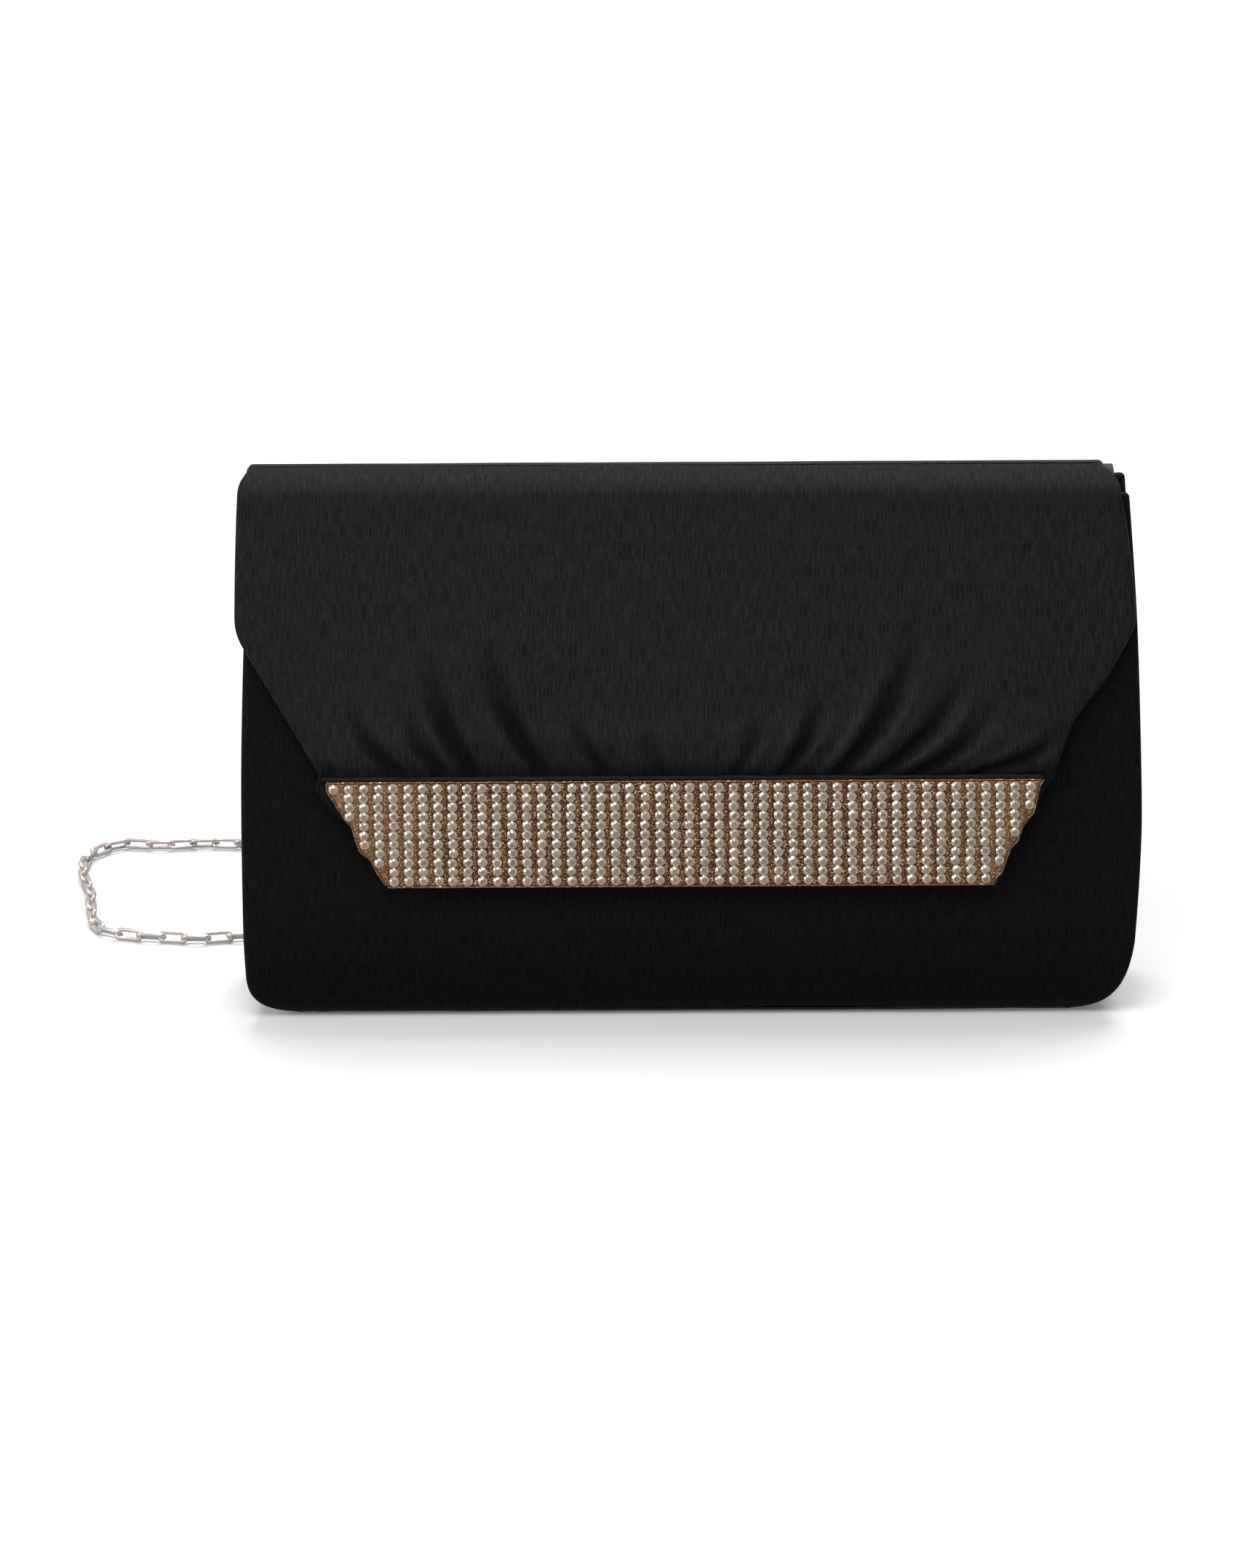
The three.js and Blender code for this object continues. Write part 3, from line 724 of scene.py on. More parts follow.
class Finishes:
    """Every finish on the bag."""

    def __init__(self) -> None:
        """Mixes the finishes."""
        fx = Effects()
        self.satin = self._satin(fx, "crinkle_satin", 1.0)
        # a darker copy of the satin for the body: painted shade under and below the flap
        self.shaded_body_satin = self._satin(fx, "crinkle_satin_body", 0.4)
        self.lining = self._lining(fx)
        self.thread = self._thread(fx)
        self.board = self._board(fx)
        self.wadding = self._wadding()
        self.glitter = self._glitter(fx)
        self.gold_edge = self._gold_edge(fx)
        self.crystal = self._crystal(fx)
        silver = Finish("polished_silver", metallic=0.6, coat=0.3)
        self.silver = self._metal(fx, silver, rgba(0.86, 0.80, 0.77), rgba(0.46, 0.40, 0.37), 0.22)
        snap = Finish("nickel_snap", metallic=1.0)
        self.snap = self._metal(fx, snap, rgba(0.62, 0.60, 0.57), rgba(0.36, 0.34, 0.31), 0.3)
        magnet = Finish("sintered_magnet", metallic=0.7)
        self.magnet = self._metal(fx, magnet, rgba(0.10, 0.10, 0.11), rgba(0.05, 0.05, 0.05), 0.5)

    @staticmethod
    def _satin(fx: Effects, name: str, light: float) -> Material:
        """Black crinkle satin: fine lines down the cloth, tiny painted glints as paler specks, a soft
        lengthwise sheen.

        Args:
            fx: The shared effects.
            name: The material's name.
            light: How light its black is; the body's copy at 0.4 is darker than the flap's at 1.0, as painted
                shade.

        Returns:
            The material.
        """
        p = Paint(Finish(name, specular=0.06 + 0.10 * light, sheen=0.02, sheen_roughness=0.35))
        cloth = p.places["UV"]
        crinkle = p.group(fx.crinkle, cloth, Line_Width=0.00038, Line_Length=0.0055)
        weave = p.group(fx.weave, cloth, Thread=0.00028, Slant=0.0)
        # painted glints: a few specks of paler base colour stand in for light catching the crinkles
        glint_specks = p.group(fx.speckle, cloth, Grain=0.00026, Share=0.03)
        broad = p.noise(cloth, 26.0, 3.0)
        tones = (light * tone for tone in (0.0015, 0.0165, 0.060))
        dark, pale, glint_colour = (rgba(tone, tone, 1.05 * tone) for tone in tones)
        shade = p.mix(crinkle["Shade"], dark, pale)
        uneven = p.mix(p.between(broad, 0.35, 0.7, 0.0, 0.2), shade, rgba(*[0.010 * light] * 3))
        with_glints = p.mix(p.math("MULTIPLY", glint_specks["Mask"], 0.5), uneven, glint_colour)
        # painted shade: the stored fold value darkens the black in the pleat valleys, above the bar and over
        # the top fold
        fold = p.mark("fold")
        p.give(Base_Color=p.mix(p.math("MULTIPLY", fold, 0.75), with_glints, rgba(0.001, 0.001, 0.001)))
        rough = p.between(crinkle["Height"], 0.3, 0.7, 0.64, 0.48)
        p.give(Roughness=p.math("MULTIPLY_ADD", fold, 0.3, rough))
        threads = p.bump(weave["Height"], 0.00003, 0.6)
        p.give(Normal=p.bump(crinkle["Height"], 0.00018, 0.9, threads))
        return p.material

    @staticmethod
    def _lining(fx: Effects) -> Material:
        """Black twill lining with a dull sheen."""
        p = Paint(Finish("twill_lining", specular=0.4, sheen=0.08))
        cloth = p.places["UV"]
        weave = p.group(fx.weave, cloth, Thread=0.00042, Slant=0.9)
        broad = p.noise(cloth, 40.0, 4.0)
        tone = p.between(weave["Height"], 0.3, 1.0)
        dyed = p.mix(tone, rgba(0.008, 0.008, 0.009), rgba(0.02, 0.02, 0.023))
        faded = p.between(broad, 0.4, 0.7, 0.0, 0.4)
        p.give(Base_Color=p.mix(faded, dyed, rgba(0.028, 0.028, 0.031)))
        p.give(Roughness=p.between(broad, 0.3, 0.7, 0.5, 0.68))
        p.give(Normal=p.bump(weave["Height"], 0.00007))
        return p.material

    @staticmethod
    def _thread(fx: Effects) -> Material:
        """Twisted black sewing thread."""
        p = Paint(Finish("sewing_thread", specular=0.45, sheen=0.1))
        weave = p.group(fx.weave, p.places["Object"], Thread=0.00016, Slant=0.6)
        tone = p.between(weave["Height"], 0.3, 1.0)
        p.give(Base_Color=p.mix(tone, rgba(0.008, 0.008, 0.009), rgba(0.035, 0.035, 0.038)), Roughness=0.55)
        p.give(Normal=p.bump(weave["Height"], 0.00004))
        return p.material

    @staticmethod
    def _board(fx: Effects) -> Material:
        """Pulp board with flecks, made black so that it reads as painted shade where it shows through thin
        gaps at the flap's fold.
        """
        p = Paint(Finish("pulp_board", specular=0.2))
        place = p.places["Object"]
        pulp = p.noise(place, 900.0, 6.0)
        fleck = p.group(fx.speckle, place, Grain=0.0011, Share=0.12)
        tone = p.mix(pulp, rgba(0.018, 0.017, 0.016), rgba(0.040, 0.038, 0.036))
        p.give(Base_Color=p.mix(fleck["Mask"], tone, rgba(0.055, 0.052, 0.050)), Roughness=0.9)
        p.give(Normal=p.bump(pulp, 0.0001))
        return p.material

    @staticmethod
    def _wadding() -> Material:
        """Black felted wadding, black so that it reads as painted shade where it shows at the fold."""
        p = Paint(Finish("felt_wadding", specular=0.1, sheen=0.3))
        place = p.places["Object"]
        fibres = p.noise(place, 1500.0, 6.0, Distortion=1.5)
        tone = p.mix(fibres, rgba(0.012, 0.012, 0.013), rgba(0.045, 0.045, 0.048))
        p.give(Base_Color=tone, Roughness=1.0)
        p.give(Normal=p.bump(fibres, 0.0003))
        return p.material

    @staticmethod
    def _grains(p: Paint, fx: Effects, place: object) -> tuple[object, object, object]:
        """Glitter grains of two sizes.

        Args:
            p: The material being mixed.
            fx: The shared effects.
            place: Where the grains read their place from.

        Returns:
            The grains' colour, a mask of the bright ones, and their height.
        """
        fine = p.group(fx.speckle, place, Grain=0.00026, Share=0.34)
        large = p.group(fx.speckle, place, Grain=0.00042, Share=0.10)
        ground = p.mix(fine["Tone"], rgba(0.020, 0.008, 0.003), rgba(0.17, 0.070, 0.026))
        copper = p.mix(fine["Mask"], ground, rgba(0.72, 0.35, 0.15))
        bright = p.mix(large["Tone"], rgba(0.95, 0.60, 0.38), rgba(1.0, 0.84, 0.62))
        return p.mix(large["Mask"], copper, bright), large["Mask"], fine["Tone"]

    def _glitter(self, fx: Effects) -> Material:
        """Copper glitter cloth under the crystals, paler gold towards the bar's ends."""
        p = Paint(Finish("copper_glitter", metallic=0.55, specular=0.6))
        place = p.places["UV"]
        colour, bright, height = self._grains(p, fx, place)
        side = p.math("ABSOLUTE", p.add("ShaderNodeSeparateXYZ", {0: place}).outputs[0])
        ends = p.between(side, 0.065, 0.1, 0.0, 0.35)
        p.give(Base_Color=p.mix(ends, colour, rgba(0.50, 0.30, 0.15)))
        p.give(Roughness=p.between(bright, 0.0, 1.0, 0.5, 0.22))
        p.give(Normal=p.bump(height, 0.00022))
        return p.material

    def _gold_edge(self, fx: Effects) -> Material:
        """The bar's turned edges, in paler gold glitter."""
        p = Paint(Finish("gold_glitter", metallic=0.7, specular=0.6))
        colour, bright, height = self._grains(p, fx, p.places["UV"])
        p.give(Base_Color=p.mix(0.4, colour, rgba(0.34, 0.20, 0.11)))
        p.give(Roughness=p.between(bright, 0.0, 1.0, 0.5, 0.25))
        p.give(Normal=p.bump(height, 0.00018))
        return p.material

    @staticmethod
    def _crystal(fx: Effects) -> Material:
        """Champagne crystal with its light painted in: pale crown facets, a darker table, each facet catching
        the light a little differently.
        """
        p = Paint(Finish("champagne_crystal", metallic=0.35, specular=0.8, coat=1.0, coat_roughness=0.03))
        facet, tint, table = p.mark("facet"), p.mark("tint"), p.mark("table")
        haze = p.group(fx.wear, p.places["Object"], Patch=0.0006, Amount=0.5)
        # painted light: crown facets pale, the table darker, each face's tone set at random
        crown = p.mix(facet, rgba(0.44, 0.34, 0.25), rgba(0.80, 0.67, 0.53))
        tone = p.mix(table, crown, p.mix(tint, rgba(0.17, 0.135, 0.100), rgba(0.36, 0.295, 0.23)))
        p.give(Base_Color=p.mix(haze["Mask"], tone, rgba(0.58, 0.48, 0.37)))
        p.give(Roughness=p.between(tint, 0.0, 1.0, 0.08, 0.2))
        return p.material

    @staticmethod
    def _metal(fx: Effects, finish: Finish, clean: tuple, dull: tuple, roughness: float) -> Material:
        """A plated metal with rubbed patches.

        Args:
            fx: The shared effects.
            finish: Its even values.
            clean: Colour of clean metal.
            dull: Colour of dulled metal.
            roughness: Roughness of clean metal.

        Returns:
            The material.
        """
        p = Paint(finish)
        wear = p.group(fx.wear, p.places["Object"], Patch=0.0035, Amount=0.55)
        p.give(Base_Color=p.mix(wear["Mask"], clean, dull))
        p.give(Roughness=p.between(wear["Mask"], 0.0, 0.6, roughness, roughness + 0.22))
        p.give(Normal=p.bump(wear["Height"], 0.00002, 0.5))
        return p.material


def dress(piece: Piece, material: Material) -> Piece:
    """Gives a piece one material in its object's slot."""
    if not piece.material_slots:
        piece.data.materials.append(material)
    for slot in piece.material_slots:
        slot.link = "OBJECT"
        slot.material = material
    return piece


def put(piece: Piece, slot: Slot, carrier: str, *nodes: str) -> None:
    """Hangs a piece on the body that carries it and hides the frame's nodes that it stands for."""
    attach(piece, carrier)
    if nodes:
        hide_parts(*nodes)


def put_across(piece: Piece, slot: Slot, node: str) -> None:
    """Hides the frame node that a cloth stands for and bakes the cloth's placement into its mesh."""
    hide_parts(node)
    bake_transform(piece)


# ---- Repeated shapes ----
@dataclass
class Repeat:
    """Copies of one shape set on marked points by Geometry Nodes."""

    name: str
    shape: Piece
    finish: Material
    size_spread: float = 0.0
    turn_spread: float = 0.0
    seed: int = 1

    INPUTS = (
        ("Shape", "NodeSocketObject"), ("Finish", "NodeSocketMaterial"), ("Size Spread", "NodeSocketFloat"),
        ("Turn Spread", "NodeSocketFloat"), ("Seed", "NodeSocketInt"),
    )

    @classmethod
    def tree(cls) -> bpy.types.NodeTree:
        """The tree, built once: copies turned along each point's forward and up, then made real.

        Returns:
            The Geometry Nodes tree.
        """
        name = "set_on_points"
        if name in bpy.data.node_groups:
            return bpy.data.node_groups[name]
        tree = bpy.data.node_groups.new(name, "GeometryNodeTree")
        tree.interface.new_socket("Geometry", in_out="INPUT", socket_type="NodeSocketGeometry")
        for label, kind in cls.INPUTS:
            tree.interface.new_socket(label, in_out="INPUT", socket_type=kind)
        tree.interface.new_socket("Geometry", in_out="OUTPUT", socket_type="NodeSocketGeometry")
        n = Nodes(tree)
        given = n.add("NodeGroupInput").outputs
        seed = given["Seed"]

        def marked(label: str) -> Socket:
            """A direction stored on the points."""
            node = n.add("GeometryNodeInputNamedAttribute", data_type="FLOAT_VECTOR")
            node.inputs["Name"].default_value = label
            return node.outputs["Attribute"]

        def chance(low: object, high: object, shift: int) -> Socket:
            """A random number for each point or face."""
            node = n.add("FunctionNodeRandomValue", data_type="FLOAT")
            n.feed(node.inputs[2], low)
            n.feed(node.inputs[3], high)
            n.feed(node.inputs["Seed"], n.math("ADD", seed, shift))
            return node.outputs[1]

        axes = n.add("FunctionNodeAxesToRotation", {0: marked("forward"), 1: marked("up")})
        axes.primary_axis, axes.secondary_axis = "X", "Z"
        spread = given["Turn Spread"]
        turn = chance(n.math("MULTIPLY", spread, -1.0), spread, 1)
        about_z = n.add("ShaderNodeCombineXYZ", {2: turn}).outputs[0]
        euler = n.add("FunctionNodeEulerToRotation", {0: about_z}).outputs[0]
        facing = n.add("FunctionNodeRotateRotation", {0: axes.outputs[0], 1: euler}, rotation_space="LOCAL")
        growth = given["Size Spread"]
        size = chance(n.math("SUBTRACT", 1.0, growth), n.math("ADD", 1.0, growth), 2)
        shape = n.add("GeometryNodeObjectInfo", {"Object": given["Shape"]})
        copies = n.add("GeometryNodeInstanceOnPoints", {
            "Points": given["Geometry"], "Instance": shape.outputs["Geometry"],
            "Rotation": facing.outputs[0], "Scale": size,
        })
        tinted = n.add("GeometryNodeStoreNamedAttribute", {
            "Geometry": copies.outputs[0], "Name": "tint", "Value": chance(0.0, 1.0, 3),
        }, data_type="FLOAT", domain="INSTANCE")
        real = n.add("GeometryNodeRealizeInstances", {0: tinted.outputs[0]})
        faceted = n.add("GeometryNodeStoreNamedAttribute", {
            "Geometry": real.outputs[0], "Name": "facet", "Value": chance(0.0, 1.0, 4),
        }, data_type="FLOAT", domain="FACE")
        painted = n.add(
            "GeometryNodeSetMaterial", {"Geometry": faceted.outputs[0], "Material": given["Finish"]},
        )
        n.add("NodeGroupOutput", {0: painted.outputs[0]})
        return tree

    def build(self, points: Array, forward: Array, up: Array, flat: bool = False) -> Piece:
        """Makes the copies into one plain mesh.

        Args:
            points: Where they go, in millimetres.
            forward: The way each copy's X points.
            up: The way each copy's Z leans.
            flat: Whether its faces are shaded flat.

        Returns:
            The finished object, at the origin.
        """
        marks = bpy.data.meshes.new(self.name + "_marks")
        marks.from_pydata((points * MM).tolist(), [], [])
        for label, values in (("forward", forward), ("up", up)):
            layer = marks.attributes.new(label, "FLOAT_VECTOR", "POINT")
            layer.data.foreach_set("vector", np.asarray(values, np.float32).ravel())
        maker = linked(self.name + "_marks", marks)
        modifier = maker.modifiers.new("copies", "NODES")
        modifier.node_group = self.tree()
        values = {
            "Shape": self.shape, "Finish": self.finish, "Size Spread": self.size_spread,
            "Turn Spread": self.turn_spread, "Seed": self.seed,
        }
        for item in modifier.node_group.interface.items_tree:
            if item.in_out == "INPUT" and item.name in values:
                modifier[item.identifier] = values[item.name]
        return finished(self.name, maker, self.shape, flat=flat)


# ---- Studio ----
@dataclass
class Studio:
    """A white sweep, soft light and the camera."""

    elevation: float = 17.0  # degrees above the horizon
    distance: float = 2.0
    aim: tuple[float, float, float] = (0.0, 0.0, 0.075)
    roll: float = -0.3
    lens: float = 165.0
    shift: tuple[float, float] = (-0.0401, -0.0295)
    floor_radius: float = 40.0

    def build(self) -> None:
        """Makes the camera, the floor, the world and the lamps."""
        scene = bpy.context.scene
        scene.view_settings.view_transform = "Standard"
        self._camera(scene)
        self._floor()
        self._world(scene)
        self._light("back_sun", "SUN", (0.1, 0.42, 1.0), (0.0, 0.0, 0.0), energy=2.0, angle=math.radians(40))
        for name, place, size, power in (
            ("top_softbox", (-0.1, -0.50, 0.62), 0.40, 2.3), ("left_softbox", (-1.1, -0.45, 0.50), 0.5, 4.5),
        ):
            self._light(name, "AREA", place, self.aim, shape="SQUARE", size=size, energy=power)

    def _camera(self, scene: bpy.types.Scene) -> None:
        """Makes the camera."""
        data = bpy.data.cameras.new("camera")
        data.sensor_fit = "VERTICAL"
        data.sensor_height = 36.0
        data.lens = self.lens
        data.shift_x, data.shift_y = self.shift
        data.clip_start, data.clip_end = 0.05, 100.0
        camera = linked("camera", data)
        angle = math.radians(self.elevation)
        back = Vector((0.0, -math.cos(angle), math.sin(angle)))
        camera.location = Vector(self.aim) + back * self.distance
        facing = (-back).to_track_quat("-Z", "Y") @ Quaternion((0.0, 0.0, 1.0), math.radians(self.roll))
        camera.rotation_euler = facing.to_euler()
        scene.camera = camera

    def _floor(self) -> None:
        """Makes the white floor."""
        mesh = bpy.data.meshes.new("floor")
        with edited(mesh) as shape:
            bmesh.ops.create_circle(shape, cap_ends=True, radius=self.floor_radius, segments=96)
        floor = new_object("floor", mesh, flat=True)
        floor.location.z = -0.0001
        p = Paint(Finish("white_sweep", specular=0.05))
        grain = p.add("ShaderNodeTexNoise", {"Vector": p.places["Object"], "Scale": 3.0})
        white = p.mix(grain.outputs[0], rgba(0.93, 0.93, 0.935), rgba(0.95, 0.95, 0.955))
        seen = p.add("ShaderNodeLightPath").outputs["Is Camera Ray"]
        p.give(Base_Color=p.mix(seen, rgba(0.30, 0.30, 0.30), white), Roughness=0.9)
        p.give(Emission_Color=white, Emission_Strength=0.1)
        dress(floor, p.material)

    @staticmethod
    def _world(scene: bpy.types.Scene) -> None:
        """Makes the even surroundings, white to the camera and dimmer as a light."""
        world = bpy.data.worlds.new("white_room")
        world.use_nodes = True
        nodes = Nodes(world.node_tree)
        surround = world.node_tree.nodes["Background"]
        surround.inputs["Color"].default_value = rgba(1.0, 1.0, 1.0)
        seen = nodes.add("ShaderNodeLightPath").outputs["Is Camera Ray"]
        nodes.feed(surround.inputs["Strength"], nodes.math("MULTIPLY_ADD", seen, 0.62, 0.38))
        scene.world = world

    @staticmethod
    def _light(name: str, kind: str, place: Sequence[float], aim: Sequence[float],
               **settings: object) -> None:
        """Makes a light that faces a point, with the settings of its kind."""
        data = bpy.data.lights.new(name, kind)
        for key, value in settings.items():
            setattr(data, key, value)
        lamp = linked(name, data)
        lamp.location = place
        lamp.rotation_euler = (Vector(aim) - Vector(place)).to_track_quat("-Z", "Y").to_euler()


# ---- Chain strap ----
@dataclass
class ChainStrap:
    """A cable chain, each link turned a quarter from the last, from clasp to clasp behind the bag."""

    width: float = 3.8
    wire: float = 0.62
    link_half: float = 4.54
    link_round: float = 1.28
    pitch: float = 6.6
    hook_in: float = 1.6  # the end links reach into the jump rings
    base_turn: float = 35.0
    coil_centre: tuple[float, float] = (12.0, 76.0)
    coil_inner: float = 16.4
    coil_pitch: float = 3.9
    coil_turns: int = 2
    lying: float = 1.9
    left: list = field(default_factory=lambda: [
        (-104, 19.9, 106.2), (-104, 20.5, 95), (-104, 22.2, 80), (-104, 24.1, 62), (-104, 26.1, 45),
        (-104, 27.8, 30), (-104, 28.4, 18), (-104.6, 29.8, 9), (-106.6, 33.8, 3), (-110, 39.4, 1.9),
        (-117, 45, 1.9), (-128, 47, 1.9), (-140, 45, 1.9), (-153, 46.5, 1.9), (-163.5, 49.2, 1.9),
        (-171, 55.5, 1.9), (-174.2, 70, 1.9), (-175.8, 87, 1.9), (-179, 103, 1.9), (-179.6, 116, 1.9),
        (-176.4, 127, 1.9), (-169.5, 133.6, 1.9), (-158, 132.6, 1.9), (-146, 134, 1.9), (-133, 133.4, 1.9),
        (-118, 132, 1.9), (-100, 126, 1.9), (-82, 114, 1.9), (-64, 96, 1.9), (-47, 76, 1.9),
        (-30, 59, 1.9), (-16, 52.6, 1.9), (-3, 51.7, 1.9),
    ])
    right: list = field(default_factory=lambda: [
        (27.5, 51.5, 4.2), (36, 50.8, 2.9), (45, 49.4, 2), (56, 47.2, 1.9), (72, 42.6, 1.9), (88, 37.8, 1.9),
        (98, 33.4, 2.7), (102.8, 30, 8.4), (104, 28.5, 18), (104, 27.8, 30), (104, 26.1, 45), (104, 24.1, 62),
        (104, 22.2, 80), (104, 20.5, 95), (104, 19.9, 106.2),
    ])

    def coil(self) -> list[tuple[float, float, float]]:
        """Points of the round coil: two turns inwards on the floor, two turns back out on top of them."""
        steps = 16
        total = 2 * self.coil_turns * steps
        climb = steps // 3
        points = []
        for i in range(total + 1):
            inwards = min(i / (self.coil_turns * steps), 1.0)
            outwards = max(i - self.coil_turns * steps - climb, 0) / (self.coil_turns * steps - climb)
            radius = self.coil_inner + self.coil_turns * self.coil_pitch * (1 - inwards + outwards)
            rise = float(smooth(np.array((i - self.coil_turns * steps) / climb)))
            angle = -math.pi / 2 + 2 * math.pi * i / steps
            x, y = (c + radius * f(angle) for c, f in zip(self.coil_centre, (math.cos, math.sin)))
            points.append((x, y, self.lying + 2 * self.lying * rise))
        return points

    def path(self) -> Array:
        """The chain's whole line, in millimetres."""
        return centripetal([*self.left, *self.coil(), *self.right])

    def link(self) -> Piece:
        """One long round-wire link lying along X."""
        straight = self.link_half - self.wire - self.link_round
        steps = 7
        turn = np.linspace(-math.pi / 2, math.pi / 2, steps)
        arc = np.stack([straight + self.link_round * np.cos(turn), self.link_round * np.sin(turn)], axis=1)
        loop = np.vstack([arc, -arc])
        return tube("link_shape", np.column_stack([loop, np.zeros(len(loop))]), self.wire, 8, closed=True)

    def build(self, finishes: Finishes) -> Piece:
        """Args:
            finishes: The bag's finishes.

        Returns:
            The strap.
        """
        path = self.path()
        length = float(np.linalg.norm(np.diff(path, axis=0), axis=1).sum())
        count = round((length - 2 * self.hook_in) / self.pitch) + 1
        points, along = even_points(path, count, self.hook_in, self.hook_in)
        level = np.hypot(along[:, 0], along[:, 1])[:, None]
        lean = level * [0.0, 0.0, 1.0] + (1 - level) * [0.0, 1.0, 0.0]
        side = np.cross(along, lean)
        side /= np.linalg.norm(side, axis=1)[:, None]
        over = np.cross(side, along)
        turn = np.radians(self.base_turn + 90.0 * (np.arange(count) % 2))[:, None]
        up = np.cos(turn) * over + np.sin(turn) * side
        strap = Repeat("chain_strap", self.link(), finishes.silver, seed=5).build(points, along, up)
        put(strap, Slot.SILVER, Body.BAG.value, "chain_left_run", "chain_coil", "chain_right_run")
        log.info("chain strap: %d links, %.0f mm", count, length)
        self.route, self.length = path, length
        return strap

    def declare(self, strap: Piece, fittings: list[Piece]) -> None:
        """Samples the strap's route every 3 mm and lists the fittings; neither is used further."""
        points, _ = even_points(self.route, round(self.length / 3))
        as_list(fittings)


# ---- Cloth with turned edges ----
@dataclass
class TurnedCloth:
    """Cloth wrapped over a stiff layer: its edges turn round a rim and end in a hem on the inside."""

    name: str
    section: Section
    start: float
    end: float
    left: Line
    right: Line
    depth: Line
    relief: Relief
    hem: float = 7.0
    head: bool = False  # the last row turns round a rim too
    step: float = 1.5
    across: float = 1.5
    inner: float = 4.0

    def rim(self, depth: Array) -> tuple[Array, Array, Array]:
        """The columns beside an edge, from the hem's end, round the rim, to the outer face.

        Args:
            depth: Thickness that the rim turns round, for each row.

        Returns:
            Distance inside the edge, inset, and distance back along the cloth from the outer face.
        """
        r = depth[:, None] / 2
        arc = np.linspace(math.pi / 2, -math.pi / 2, 9)[None, :]
        hem = r + (self.hem - r) * np.array([[1.0, 0.5]])
        inside = np.hstack([hem, r * (1 - np.cos(arc)), r * 0 + self.inner])
        inset = np.hstack([2 * r + np.zeros((1, 2)), r * (1 + np.sin(arc)), r * 0])
        steps = np.hypot(np.diff(inside, axis=1), np.diff(inset, axis=1))
        back = np.cumsum(steps[:, ::-1], axis=1)[:, ::-1]
        return inside, inset, np.hstack([back, np.zeros_like(r)])

    def build(self) -> Piece:
        """Makes the cloth.

        Returns:
            The object.
        """
        rows = np.linspace(self.start, self.end, max(round((self.end - self.start) / self.step), 4) + 1)
        inside, inset, back = self.rim(self.depth(rows))
        nudge = 0.05
        xs, ats, us = [], [], []
        for edge, sign in ((self.left, 1.0), (self.right, -1.0)):
            slope = (edge(rows + nudge) - edge(rows - nudge)) / (2 * nudge)
            size = np.hypot(1.0, slope)
            xs.append(edge(rows)[:, None] + sign * inside / size[:, None])
            ats.append(rows[:, None] - sign * inside * (slope / size)[:, None])
            us.append(xs[-1][:, -1:] - sign * back)
        span = float(np.max(xs[1][:, -1] - xs[0][:, -1]))
        t = np.linspace(0, 1, round(span / self.across) + 1)[None, 1:-1]
        middle = [left[:, -1:] + (right[:, -1:] - left[:, -1:]) * t for left, right in (xs, ats)]
        x = np.hstack([xs[0], middle[0], xs[1][:, ::-1]])
        at = np.hstack([ats[0], middle[1], ats[1][:, ::-1]])
        u = np.hstack([us[0], middle[0], us[1][:, ::-1]])
        faces_in = np.hstack([inset, 0 * middle[0], inset[:, ::-1]])
        tip = 6  # the rim's outermost column
        amount = np.zeros(x.shape[1])
        columns = np.arange(x.shape[1] - 2 * tip)
        amount[tip:-tip] = smooth(np.minimum(columns, columns[::-1]) / 6)
        fade = smooth((self.end - rows) / 5)[:, None] if self.head else np.ones((len(rows), 1))
        lift = self.relief(x, at) * amount[None, :] * fade
        sheet = SheetMesh(self.name)
        points = self.section.place(x, at, faces_in - lift)
        flip = self._inside_out(points, at)
        sheet.add(points, np.stack([u, at], axis=-1), flip)
        if self.head:
            half = slice(tip, x.shape[1] - tip)
            r = self.depth(rows[-1:])[0] / 2
            reach = r - faces_in[-1, half]
            turn = np.linspace(0, math.pi, 9)[:, None]
            hem_at = at[-1:, half] - np.array([[3.0], [self.hem]])
            roll_at = np.vstack([at[-1:, half] + reach * np.sin(turn), hem_at])
            roll_in = np.vstack([r - reach * np.cos(turn), np.repeat((r + reach)[None], 2, 0)])
            roll_x = np.repeat(x[-1:, half], len(roll_at), 0)
            way = np.concatenate([turn[:, 0] * r, [math.pi * r + 3, math.pi * r + self.hem]])[:, None]
            roll_v = at[-1:, half] + way
            grid = self.section.place(roll_x, roll_at, roll_in)
            sheet.add(grid, np.stack([np.repeat(u[-1:, half], len(grid), 0), roll_v], axis=-1), flip)
        return sheet.build()

    def _inside_out(self, points: Array, at: Array) -> bool:
        """Whether the grid's faces would point into the bag."""
        i, j = points.shape[0] // 2, points.shape[1] // 2
        face = np.cross(points[i, j + 1] - points[i, j], points[i + 1, j] - points[i, j])
        inward = self.section.place(points[i, j, 0], at[i, j], np.array(1.0)) - points[i, j]
        return bool(face.dot(inward) > 0)


def flat_size(piece: Piece) -> tuple[tuple[float, float], float]:
    """The size a cloth was cut to, from its UV map.

    Args:
        piece: The cloth.

    Returns:
        Width and length of the cut, and its flat area, in metres.
    """
    mesh = piece.data
    uv = np.zeros(len(mesh.loops) * 2, np.float32)
    mesh.uv_layers[0].data.foreach_get("uv", uv)
    size = np.ptp(uv.reshape(-1, 2).astype(float), axis=0)
    area = sum(face.area for face in mesh.polygons)
    return (float(size[0]), float(size[1])), min(float(area), float(size[0] * size[1]))


def declare_sheet(piece: Piece) -> None:
    """Logs a cloth's cut size and flat area."""
    flat, area = flat_size(piece)
    log.info("sheet %s: %.0f x %.0f mm, %.4f m2", piece.name, flat[0] * 1000, flat[1] * 1000, area)


def even(value: float) -> Line:
    """A function that gives one value everywhere."""
    return lambda at: np.full(np.shape(at), value)


def body_edge(side: int, inset: float) -> Line:
    """The bag's edge by distance along the wall section."""
    return lambda at: OUTLINE.x(side, WALL.height(at), inset)


